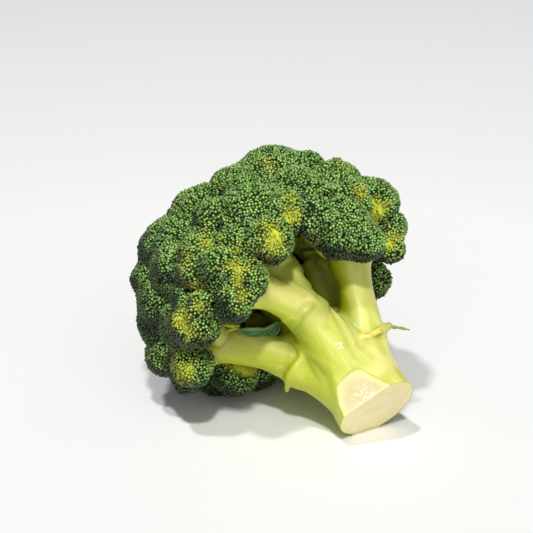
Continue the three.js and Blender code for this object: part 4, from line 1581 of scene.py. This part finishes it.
@dataclass
class BudCover(NodeSheet):
    """The Geometry Nodes tree that strews buds over a floret's surface.

    Attributes:
        sides: How many sides a bud's stem has.
        fineness: How often a bud's surface is divided.
        most: Points tried on a square metre before the crowded ones are dropped.
    """

    sides: int = 5
    fineness: int = 1
    most: float = 1.6e6

    def fill(self) -> None:
        """Fill the tree, which reads crowd, bare and fan from the mesh."""
        given = self.given(("Geometry", "Geometry"), ("Spacing", "Float", 0.0017),
                           ("Radius", "Float", 0.001), ("Spread", "Float", 0.2),
                           ("Tilt", "Float", 0.3), ("Stem", "Float", 0.0024),
                           ("Seed", "Int", 1), ("Finish", "Material"))
        seed = given["Seed"]
        strewn = self.node("GeometryNodeDistributePointsOnFaces", {
            "Mesh": given["Geometry"], "Distance Min": given["Spacing"],
            "Density Max": self.most, "Density Factor": self.read("crowd"),
            "Seed": seed}, distribute_method="POISSON").outputs
        bare, fan = self.read("bare"), self.read("fan", "FLOAT_VECTOR")
        low = self.math("SUBTRACT", 1.0, given["Spread"])
        high = self.math("ADD", 1.0, given["Spread"])
        size = self.times(self.random(low, high, seed, 11), given["Radius"],
                          self.math("MULTIPLY_ADD", bare, -0.35, 1.0))
        tall = self.times(size, self.random(1.0, 1.5, seed, 5))
        turned = self.rotation(given, strewn["Rotation"], bare, fan)
        points = self.keep(strewn["Points"], "shade", self.random(0.0, 1.0, seed, 7))
        length = self.times(bare, given["Stem"], self.random(0.6, 1.3, seed, 13))
        lifted = self.node("GeometryNodeSetPosition", {
            "Geometry": points, "Offset": self.scaled(fan, length)}).outputs[0]
        buds = self.node("GeometryNodeInstanceOnPoints", {
            "Points": lifted, "Instance": self.bud(), "Rotation": turned,
            "Scale": self.vector(size, size, tall)})
        stems = self.node("GeometryNodeInstanceOnPoints", {
            "Points": points, "Instance": self.stem(), "Rotation": turned,
            "Selection": self.math("GREATER_THAN", bare, 0.25),
            "Scale": self.vector(size, size, length)})
        joined = self.node("GeometryNodeJoinGeometry")
        for part in (buds.outputs[0], stems.outputs[0], given["Geometry"]):
            self.tree.links.new(part, joined.inputs[0])
        real = self.node("GeometryNodeRealizeInstances", {"Geometry": joined.outputs[0]})
        dressed = self.node("GeometryNodeSetMaterial", {
            "Geometry": real.outputs[0], "Material": given["Finish"],
            "Selection": self.math("GREATER_THAN", self.read("bud"), 0.5)})
        self.put_out(Geometry=("Geometry", dressed.outputs[0]))

    def rotation(self, given: bpy.types.bpy_prop_collection, upright: Socket, bare: Socket,
                 fan: Socket) -> Socket:
        """Turn each bud: upright where they stand close, fanned out where they stand apart.

        Args:
            given: The tree's own inputs.
            upright: The rotation that stands a bud upright on the surface.
            bare: How far the buds stand apart.
            fan: The way that they fan out.

        Returns:
            The rotation, with a random turn and a small random tilt.
        """
        seed = given["Seed"]
        back = self.times(given["Tilt"], -1.0)
        lean = self.vector(self.random(back, given["Tilt"], seed, 2),
                           self.random(back, given["Tilt"], seed, 3),
                           self.random(0.0, math.tau, seed, 4))
        fanned = self.node("FunctionNodeAlignRotationToVector", {
            "Rotation": upright, "Factor": bare, "Vector": fan}, axis="Z")
        lean = self.node("FunctionNodeEulerToRotation", {"Euler": lean})
        return self.node("FunctionNodeRotateRotation", {
            "Rotation": fanned.outputs[0], "Rotate By": lean.outputs[0]},
            rotation_space="LOCAL").outputs[0]

    def read(self, name: str, kind: str = "FLOAT") -> Socket:
        """Read what is kept on the mesh."""
        placed = self.node("GeometryNodeInputNamedAttribute", {"Name": name}, data_type=kind)
        return placed.outputs["Attribute"]

    def keep(self, geometry: Socket, name: str, value: object) -> Socket:
        """Keep a number for each point of a geometry.

        Args:
            geometry: The geometry.
            name: The name that the number is kept under.
            value: The number.

        Returns:
            The geometry with it.
        """
        inputs = {"Geometry": geometry, "Name": name, "Value": value}
        settings = {"data_type": "FLOAT", "domain": "POINT"}
        return self.node("GeometryNodeStoreNamedAttribute", inputs, **settings).outputs[0]

    def random(self, low: object, high: object, seed: Socket, shift: int) -> Socket:
        """Draw a number for each point, from its own seed.

        Args:
            low: The least number.
            high: The greatest number.
            seed: The tree's seed.
            shift: What tells this draw from the others.

        Returns:
            The number.
        """
        own_seed = self.math("ADD", seed, float(shift * 1000))
        placed = self.node("FunctionNodeRandomValue", {"Seed": own_seed}, data_type="FLOAT")
        sockets = [socket for socket in placed.inputs if socket.enabled]
        for socket, value in zip(sockets, (low, high)):
            self.feed(socket, value)
        return [socket for socket in placed.outputs if socket.enabled][0]

    def bud(self) -> Socket:
        """Shape one bud of radius one, with its tip up, and keep on it how near the tip is.

        Returns:
            The bud.
        """
        ball = self.node("GeometryNodeMeshIcoSphere", {
            "Radius": 1.0, "Subdivisions": self.fineness}).outputs["Mesh"]
        ball = self.node("GeometryNodeSetShadeSmooth", {"Geometry": ball}).outputs[0]
        height = self.node("ShaderNodeSeparateXYZ", {
            0: self.node("GeometryNodeInputPosition").outputs[0]}).outputs[2]
        tipped = self.keep(ball, "tip", self.math("MULTIPLY_ADD", height, 0.5, 0.5))
        return self.keep(tipped, "bud", 1.0)

    def stem(self) -> Socket:
        """Shape the thin stem that carries a bud, of length one for a bud of radius one.

        Returns:
            The stem.
        """
        cone = self.node("GeometryNodeMeshCone", {
            "Vertices": self.sides, "Radius Top": 0.5, "Radius Bottom": 0.4, "Depth": 1.0},
            fill_type="NGON").outputs["Mesh"]
        return self.keep(self.keep(cone, "stem", 1.0), "bud", 1.0)


def bud_cover() -> bpy.types.NodeTree:
    """Build the tree that strews buds, or give it if it is there.

    Returns:
        The tree.
    """
    name = "Bud cover"
    if name not in bpy.data.node_groups:
        tree = bpy.data.node_groups.new(name, "GeometryNodeTree")
        tree.is_modifier = True
        BudCover(tree).fill()
    return bpy.data.node_groups[name]


def solids_tree() -> BVHTree:
    """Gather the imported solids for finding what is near.

    Returns:
        All their faces, in metres.
    """
    points, faces = [], []
    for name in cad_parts:
        mesh = bpy.data.objects[name].data
        base = len(points)
        points.extend(vertex.co.copy() for vertex in mesh.vertices)
        faces.extend([base + k for k in polygon.vertices] for polygon in mesh.polygons)
    return BVHTree.FromPolygons(points, faces)


@dataclass
class Outside:
    """Tells how open to the air each place on the crown is.

    Attributes:
        rays: How many rays go out over a half sphere.
        lift: How far above the surface they start.
        reach: How far they go.
    """

    rays: int = 22
    lift: float = 1.4
    reach: float = 90.0
    tree: BVHTree = field(init=False)
    directions: list = field(init=False)

    def __post_init__(self) -> None:
        """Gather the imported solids, and spread rays evenly over a sphere."""
        self.tree = solids_tree()
        golden = math.pi * (3 - math.sqrt(5))
        self.directions = []
        for k in range(2 * self.rays):
            z = 1 - (2 * k + 1) / (2 * self.rays)
            r = math.sqrt(1 - z * z)
            self.directions.append(Vector((r * math.cos(golden * k), r * math.sin(golden * k), z)))

    def openness(self, points: Array, normals: Array) -> Array:
        """Cast rays from places over a surface.

        Args:
            points: The places, in millimetres.
            normals: The surface's direction at each.

        Returns:
            For each place, the share of the rays above the surface that meet nothing near.
        """
        result = np.zeros(len(points))
        for k, (point, normal) in enumerate(zip(points, normals)):
            origin = Vector((point + normal * self.lift) * MM)
            up = Vector(normal)
            clear = total = 0.0
            for direction in self.directions:
                facing = direction.dot(up)
                if facing > 0.05:
                    total += facing
                    if self.tree.ray_cast(origin, direction, self.reach * MM)[0] is None:
                        clear += facing
            result[k] = clear / max(total, TINY)
        return result


@dataclass
class Envelope:
    """The crown as one full, evenly rounded body, up to which its valleys fill.

    Attributes:
        step: The distance between the places where it is sampled.
        blur: How widely it is evened out.
        margin: How far round the plant it is sampled.
        depth: How far from the solids' surface a place counts as solid at the most.
        level: The share of solid at which its surface lies.
        most: The furthest that a valley fills.
        rise_step: How finely the filling is measured.
    """

    step: float = 2.5
    blur: float = 5.5
    margin: float = 15.0
    depth: float = 30.0
    level: float = 0.46
    most: float = 5.0
    rise_step: float = 0.25
    grid: GrownField = field(init=False)

    def __post_init__(self) -> None:
        """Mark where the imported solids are, and even the marks out."""
        low, high = (np.array(side) / MM for side in CAD_BOX)
        self.grid = GrownField(low - self.margin, high + self.margin, self.step)
        points = self.grid.points(self.grid.window(self.grid.low, self.grid.high))
        places = points.reshape(-1, 3) * MM
        solid = np.zeros(len(places))
        tree = solids_tree()
        for k, point in enumerate(places):
            place, normal, _, _ = tree.find_nearest(Vector(point), self.depth * MM)
            if place is not None:
                solid[k] = (Vector(point) - place).dot(normal) < 0
        solid = solid.reshape(points.shape[:3])
        reach = int(3 * self.blur / self.step)
        kernel = np.exp(-(np.arange(-reach, reach + 1) * self.step / self.blur) ** 2 / 2)
        for axis in range(3):
            solid = np.apply_along_axis(np.convolve, axis, solid, kernel / kernel.sum(), "same")
        self.grid.values = solid

    def rise(self, points: Array, normals: Array) -> Array:
        """Find how far each place has to move out to stand on the full body.

        Args:
            points: Places on a head.
            normals: The ways that they can move.

        Returns:
            The distances, which are 0 where the head already stands as far out.
        """
        grown = np.zeros(len(points))
        below = np.ones(len(points), dtype=bool)
        for distance in np.arange(0.0, self.most, self.rise_step):
            below &= self.grid.at(points + normals * distance) > self.level
            grown[below] = distance + self.rise_step
        return grown


def smoothed(mesh: bpy.types.Mesh, values: Array, times: int) -> Array:
    """Even out a value over a mesh, from each point to its neighbours.

    Args:
        mesh: The mesh.
        values: The value at each point.
        times: How often each point takes on its neighbours' mean in part.

    Returns:
        The evened value at each point.
    """
    ends = np.empty(len(mesh.edges) * 2, dtype=np.int32)
    mesh.edges.foreach_get("vertices", ends)
    first, second = ends.reshape(-1, 2).T
    count = np.bincount(ends, minlength=len(values))
    for _ in range(times):
        total = np.bincount(first, values[second], len(values))
        total += np.bincount(second, values[first], len(values))
        values = 0.4 * values + 0.6 * total / np.maximum(count, 1)
    return values


@dataclass
class Floret:
    """One floret: a lumpy head closely set with buds, bare and pale underneath.

    Attributes:
        plan: Where it grows.
        seed: The seed of its random draws.
        spacing: The least distance between two buds.
        radius: A bud's radius.
        underside: Cosine of the angle from its outward side at which the buds end.
        swell: How far the rounded head is let out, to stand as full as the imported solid.
        cluster: The distance between the small clusters that the buds stand in.
        relief: How far the clusters stand out.
        recess: How far the flesh is drawn in where clusters stand apart.
        floor_clearance: The least height of the flesh, so that its buds rest on the floor.
    """

    plan: FloretPlan
    seed: int
    spacing: float = 1.2
    radius: float = 0.93
    underside: float = -0.38
    swell: float = 0.1
    cluster: float = 9.0
    relief: float = 0.8
    recess: float = 1.9
    floor_clearance: float = 1.2

    def base(self) -> bpy.types.Object:
        """Copy the node's mesh, close it and round its clusters.

        Returns:
            The copy, as a piece of its own.
        """
        mesh = bpy.data.objects[self.plan.node].data.copy()
        with edited(mesh) as work:
            bmesh.ops.remove_doubles(work, verts=work.verts, dist=TINY)
        mesh.materials.clear()
        made = new_object(self.plan.node + "_buds", mesh)
        rounded = made.modifiers.new("rounded", "SUBSURF")
        rounded.levels = rounded.render_levels = 1
        applied(made)
        made.data.polygons.foreach_set("use_smooth", [True] * len(made.data.polygons))
        return made

    def clusters(self, points: Array) -> Array:
        """Find how far each place is from its cluster's middle.

        Args:
            points: Places on the head.

        Returns:
            A share for each place, 1 being the cluster's edge.
        """
        random = np.random.default_rng(self.seed)
        tops = []
        for point in points[random.permutation(len(points))]:
            if all(np.linalg.norm(point - top) > self.cluster for top in tops):
                tops.append(point)
        away = np.linalg.norm(points[:, None] - np.array(tops)[None], axis=-1).min(axis=1)
        return away / (0.62 * self.cluster)

    def patches(self, points: Array) -> tuple[Array, Array, Array]:
        """Find where the clusters stand apart.

        Args:
            points: Places on the head.

        Returns:
            For each place, how yellow it is, how bare it is, and the way its buds point there.
        """
        away = np.linalg.norm(points[:, None, :] - PALE_PATCHES[None, :, :3], axis=-1)
        away = away * (1 + 0.3 * ripple(points, 5.0, self.seed))[:, None]
        share, apart = away / (0.85 * PALE_PATCHES[:, 3]), PALE_PATCHES[:, 4]
        pale = (np.exp(-(share / 1.5) ** 2) * (0.25 + 0.65 * apart)).max(axis=1)
        open_share = np.exp(-share**4) * apart
        nearest = open_share.argmax(axis=1)
        centre = PALE_PATCHES[nearest, :3]
        fan = unit(points - centre - unit(np.array(self.plan.seat) - centre) * 6.0)
        return pale, open_share.max(axis=1), fan

    def describe(self, mesh: bpy.types.Mesh, outside: Outside, envelope: Envelope) -> None:
        """Fill the head out, and keep on it where buds stand, where the flesh is pale, and its
        painted light and shade.

        Args:
            mesh: The head's mesh.
            outside: Tells how open places are.
            envelope: The full body up to which valleys fill.
        """
        points, normals = vertex_points(mesh), vertex_normals(mesh)
        seat = np.array(self.plan.seat)
        outward = unit(points.mean(axis=0) - seat)
        facing = unit(points - seat - outward * 5.0) @ outward
        bloom = smoothstep(self.underside - 0.12, self.underside + 0.08, facing)
        rise = smoothed(mesh, envelope.rise(points, normals), 3) * smoothstep(-0.1, 0.35, facing)
        rise = rise * (0.3 + 0.7 * smoothstep(-0.05, 0.3, unit(points - CROWN_CENTRE) @ AXIS))
        aside = self.clusters(points)
        pale, bare, fan = self.patches(points)
        bare = bare * smoothstep(0.6, 1.0, bloom)
        lumps = self.relief * (0.6 - aside**2) * bloom
        full = points + normals * (rise + self.swell + lumps)[:, None]
        grown = full - normals * (self.recess * bare)[:, None]
        grown[:, 2] = np.maximum(grown[:, 2], self.floor_clearance)
        move_vertices(mesh, grown)
        normals = vertex_normals(mesh)
        pale = np.maximum(pale, 1.6 * bloom * (1 - bloom))
        pale = pale + 0.12 * np.maximum(ripple(points, 16.0, self.seed + 50), 0)
        # The buds' painted light and shade follow how far the surface faces the lit side.
        store(mesh, bloom=bloom, pale=np.clip(pale, 0.0, 1.0), bare=bare,
              fan=unit(normals + bare[:, None] * (fan - normals)),
              sky=smoothstep(-0.4, 0.9, normals @ SUNNY_SIDE))
        reach = 1.2 + 0.6 * np.maximum(-normals[:, 2], 0.0)
        openness = outside.openness(full, normals)
        # Painted shade: hollow is high between clusters and where the head is closed in.
        hollow = 0.5 * smoothstep(0.6, 1.1, aside) + smoothstep(0.75, 0.15, openness)
        crowd = bloom * smoothstep(0.015, 0.07, openness) * (1 - 0.2 * bare)
        store(mesh, hollow=np.clip(hollow, 0.0, 1.0), crowd=crowd * (grown[:, 2] > reach))

    def build(self, outside: Outside, envelope: Envelope, flesh: bpy.types.Material,
              buds: bpy.types.Material) -> None:
        """Make the head, strew its buds and dress both.

        Args:
            outside: Tells how open places are.
            envelope: The full body up to which valleys fill.
            flesh: The head's finish.
            buds: The buds' finish.
        """
        floret = self.base()
        self.describe(floret.data, outside, envelope)
        floret.data.materials.append(flesh)
        cover = floret.modifiers.new("buds", "NODES")
        cover.node_group = bud_cover()
        values = {"Spacing": self.spacing * MM, "Radius": self.radius * MM, "Seed": self.seed,
                  "Finish": buds}
        for item in cover.node_group.interface.items_tree:
            if item.item_type == "SOCKET" and item.in_out == "INPUT" and item.name in values:
                cover[item.identifier] = values[item.name]
        applied(floret)
        points = vertex_points(floret.data)
        points[:, 2] = np.maximum(points[:, 2], 0.02)
        move_vertices(floret.data, points)
        hand_over(floret, self.plan.node)


# ---- Leaves ------------------------------------------------------------------


@dataclass
class Leaf:
    """A thin blade along a curve, with a midrib, side veins and stalks of its own.

    Attributes:
        node: The node that it replaces.
        path: Height, distance out and bearing of points along its middle.
        half_widths: Half its width, at even steps along it.
        across: The direction from its middle to an edge.
        cup: How far its edges curl up, as a share of their distance from the middle.
        wave: How far its edges wave.
        stalks: Its stalks, as rows of height, distance out, bearing and radius.
        young: How far it has a stalk's colour, from 0 to 1.
        thickness: How thick the blade is.
        columns: Points from its middle to an edge.
        spans: Rows of points from one point of its path to the next.
    """

    node: str
    path: tuple
    half_widths: tuple
    across: tuple
    cup: float
    wave: float = 0.0
    stalks: tuple = ()
    young: float = 0.0
    thickness: float = 0.75
    columns: int = 14
    spans: int = 10

    def blade(self) -> tuple[Array, Array, Array]:
        """Shape the blade's upper side.

        Returns:
            Its points in rows across, the surface's direction at each, and how near each is to
            a vein.
        """
        axis = smooth_curve(np.array([on_stem(*row) for row in self.path]), self.spans)
        tangent = unit(np.gradient(axis, axis=0))
        place = np.linspace(0, len(self.half_widths) - 1, len(axis))
        width = np.interp(place, np.arange(len(self.half_widths)), self.half_widths)
        side = unit(np.array(self.across) - tangent * (tangent @ np.array(self.across))[:, None])
        face = np.cross(tangent, side)
        across = np.linspace(-1, 1, 2 * self.columns + 1)[None, :, None]
        width, place = width[:, None, None], place[:, None, None]
        midrib = np.exp(-((across * width) / 0.35) ** 2)
        slant = np.sin((place * 2.2 - np.abs(across) * 1.6) * math.tau * 0.8)
        veins = smoothstep(0.8, 1.0, slant) * (np.abs(across) < 0.85)
        ruffle = 0.35 * np.sin(place * 5.1 + 2.0 * across) * across**2
        rise = (self.cup * across**2 * width + self.wave * across * np.sin(2.1 * place)
                + ruffle + 0.25 * midrib - 0.12 * veins)
        points = axis[:, None] + side[:, None] * across * width + face[:, None] * rise
        normals = np.broadcast_to(face[:, None], points.shape)
        return points, normals, np.maximum(midrib, veins)[..., 0]

    def shell(self, points: Array, normals: Array) -> tuple[Array, list]:
        """Give the blade its thickness, and close it round its rim.

        Args:
            points: The blade's points, in rows across.
            normals: The surface's direction at each.

        Returns:
            The points of the upper side and of the underside, and the faces.
        """
        rows, width = points.shape[:2]
        half = normals * self.thickness / 2
        vertices = np.vstack([(points + half).reshape(-1, 3), (points - half).reshape(-1, 3)])
        shift = rows * width
        faces = []
        for r, c in product(range(rows - 1), range(width - 1)):
            a = r * width + c
            faces.append((a, a + width, a + width + 1, a + 1))
            faces.append((a + shift, a + 1 + shift, a + width + 1 + shift, a + width + shift))
        number = np.arange(shift).reshape(rows, width)
        sides = (number[0], number[1:, -1], number[-1, -2::-1], number[-2:0:-1, 0])
        rim = np.concatenate(sides).tolist()
        for a, b in zip(rim, rim[1:] + rim[:1]):
            faces.append((a, b, b + shift, a + shift))
        return vertices, faces

    def build(self, finish: bpy.types.Material) -> None:
        """Close the blade, add its stalks and dress them.

        Args:
            finish: The leaf's finish.
        """
        points, normals, veins = self.blade()
        blade, faces = self.shell(points, normals)
        edge = np.zeros(veins.shape)
        edge[:, :2], edge[:, -2:] = 1.0, 1.0
        vertices = [blade]
        kept = {"vein": [veins.ravel(), veins.ravel() * 0.6],
                "stem": [np.full(len(blade), self.young)],
                "rim": [edge.ravel(), edge.ravel()]}
        count = len(blade)
        for stalk in self.stalks:
            ring, quads = tube(np.array([on_stem(*row[:3]) for row in stalk]),
                               np.array([row[3] for row in stalk]))
            vertices.append(ring)
            faces.extend(tuple(k + count for k in quad) for quad in quads)
            for name, layers in kept.items():
                layers.append(np.full(len(ring), float(name == "stem")))
            count += len(ring)
        leaf = make_object(self.node + "_blade", np.vstack(vertices), faces)
        store(leaf.data, **{name: np.concatenate(layers) for name, layers in kept.items()})
        with edited(leaf.data) as work:
            bmesh.ops.recalc_face_normals(work, faces=work.faces)
        leaf.data.materials.append(finish)
        hand_over(leaf, self.node)


def tube(points: Array, radii: Array, sides: int = 12, spans: int = 6) -> tuple[Array, list]:
    """Shape a closed round tube along a smooth curve.

    Args:
        points: The points that its axis passes.
        radii: Its radius at each.
        sides: Points in each ring.
        spans: Rings from one point to the next.

    Returns:
        Its points, and faces of point numbers.
    """
    limb = Limb(points, radii, spans=spans)
    angles = np.linspace(0, math.tau, sides, endpoint=False)[None, :, None]
    rings = (limb.axis[:, None] + limb.width[:, None, None]
             * (limb.side[:, None] * np.cos(angles) + limb.other[:, None] * np.sin(angles)))
    count = len(limb.axis)
    faces = []
    for r, k in product(range(count - 1), range(sides)):
        a, b = r * sides + k, r * sides + (k + 1) % sides
        faces.append((a, b, b + sides, a + sides))
    faces.append(tuple(range(sides - 1, -1, -1)))
    faces.append(tuple(range((count - 1) * sides, count * sides)))
    return rings.reshape(-1, 3), faces


CURLED_LEAF = Leaf(
    node="curled_leaf",
    path=((82, 35, -106), (75, 29, -102), (70, 20, -98), (70, 13, -88)),
    half_widths=(0.9, 2.0, 3.2, 4.1, 4.5, 4, 2.6, 0.8),
    across=(0.1, -0.5, 0.85),
    cup=0.75,
    wave=0.6,
    stalks=(((80, 33, -104, 1.4), (86, 38, -107, 1.1), (91, 43, -114, 1.2), (92, 47, -120, 1.3)),
            ((81, 34, -106, 1.2), (84, 40, -112, 1), (86, 46, -120, 1.1))),
)
LEAF_TIP = Leaf(
    node="leaf_tip",
    path=((27.6, 33.4, 38), (28, 34.6, 46), (27.6, 36.1, 51), (25.3, 39.6, 56), (22.8, 43, 60)),
    half_widths=(1.5, 1.1, 0.9, 0.7, 0.35),
    across=(0.6, 0.5, 0.6),
    cup=0.25,
    young=0.75,
)


# ---- Studio ------------------------------------------------------------------


@dataclass
class Studio:
    """A pale floor, three soft lights, a bright room and the camera.

    Attributes:
        floor_size: The floor's side, in metres.
        camera_place: Where the camera stands, in metres.
        camera_turn: How it is turned, in degrees.
        lens: The length of its lens.
        sensor: The width of its sensor.
        lights: For each light its name, the direction towards it, its strength, and how wide
            it looks, in radians.
        room: How brightly the room lights the plant.
        backdrop: How bright the room looks.
    """

    floor_size: float = 24.0
    camera_place: tuple = (0.40535, -0.46401, 0.30812)
    camera_turn: tuple = (70, 0, 42)
    lens: float = 80.0
    sensor: float = 36.0
    lights: tuple = (
        ("right light", (0.468, -0.52, 1.0), 1.66, 0.075),
        ("front light", (0.037, -0.37, 1.0), 1.16, 0.075),
        ("side light", (0.8, -0.6, 0.6), 0.86, 1.2),
    )
    room: float = 0.11
    backdrop: float = 0.78

    def floor(self) -> None:
        """Lay the floor."""
        half = self.floor_size / 2 / MM
        corners = np.array([(-half, -half, 0), (half, -half, 0), (half, half, 0), (-half, half, 0)])
        floor = make_object("floor", corners, [(0, 1, 2, 3)])
        floor.data.materials.append(FloorFinish().material())

    def light(self) -> None:
        """Hang the lamps and light the room."""
        for name, towards, strength, angle in self.lights:
            lamp = bpy.data.lights.new(name, "SUN")
            lamp.angle, lamp.energy = angle, strength
            holder = new_object(name, lamp)
            holder.location = towards
            holder.rotation_mode = "QUATERNION"
            holder.rotation_quaternion = Vector(towards).to_track_quat("Z", "Y")
        world = bpy.data.worlds.new("room")
        world.use_nodes = True
        sheet = NodeSheet(world.node_tree)
        seen = sheet.node("ShaderNodeLightPath").outputs["Is Camera Ray"]
        strength = sheet.math("MULTIPLY_ADD", seen, self.backdrop - self.room, self.room)
        background = world.node_tree.nodes["Background"]
        background.inputs["Color"].default_value = (1.0, 1.0, 1.0, 1.0)
        sheet.tree.links.new(strength, background.inputs["Strength"])
        bpy.context.scene.world = world
        bpy.context.scene.view_settings.view_transform = "Standard"

    def camera(self) -> None:
        """Set up the camera."""
        data = bpy.data.cameras.new("camera")
        data.lens = self.lens
        data.sensor_width = self.sensor
        data.clip_start = 0.01
        holder = new_object("camera", data)
        holder.location = self.camera_place
        holder.rotation_euler = [math.radians(turn) for turn in self.camera_turn]
        bpy.context.scene.camera = holder


def main() -> None:
    """Build everything in order."""
    logging.basicConfig(level=logging.INFO, format="%(name)s: %(message)s")
    studio = Studio()
    studio.camera()
    studio.floor()
    studio.light()
    outside, envelope = Outside(), Envelope()
    flesh, buds, leaf = (finish().material() for finish in (FloretFinish, BudFinish, LeafFinish))
    Stalk().build(FLORETS)
    for number, plan in enumerate(FLORETS):
        Floret(plan, seed=100 + number).build(outside, envelope, flesh, buds)
    for blade in (CURLED_LEAF, LEAF_TIP):
        blade.build(leaf)


if __name__ == "__main__":
    main()
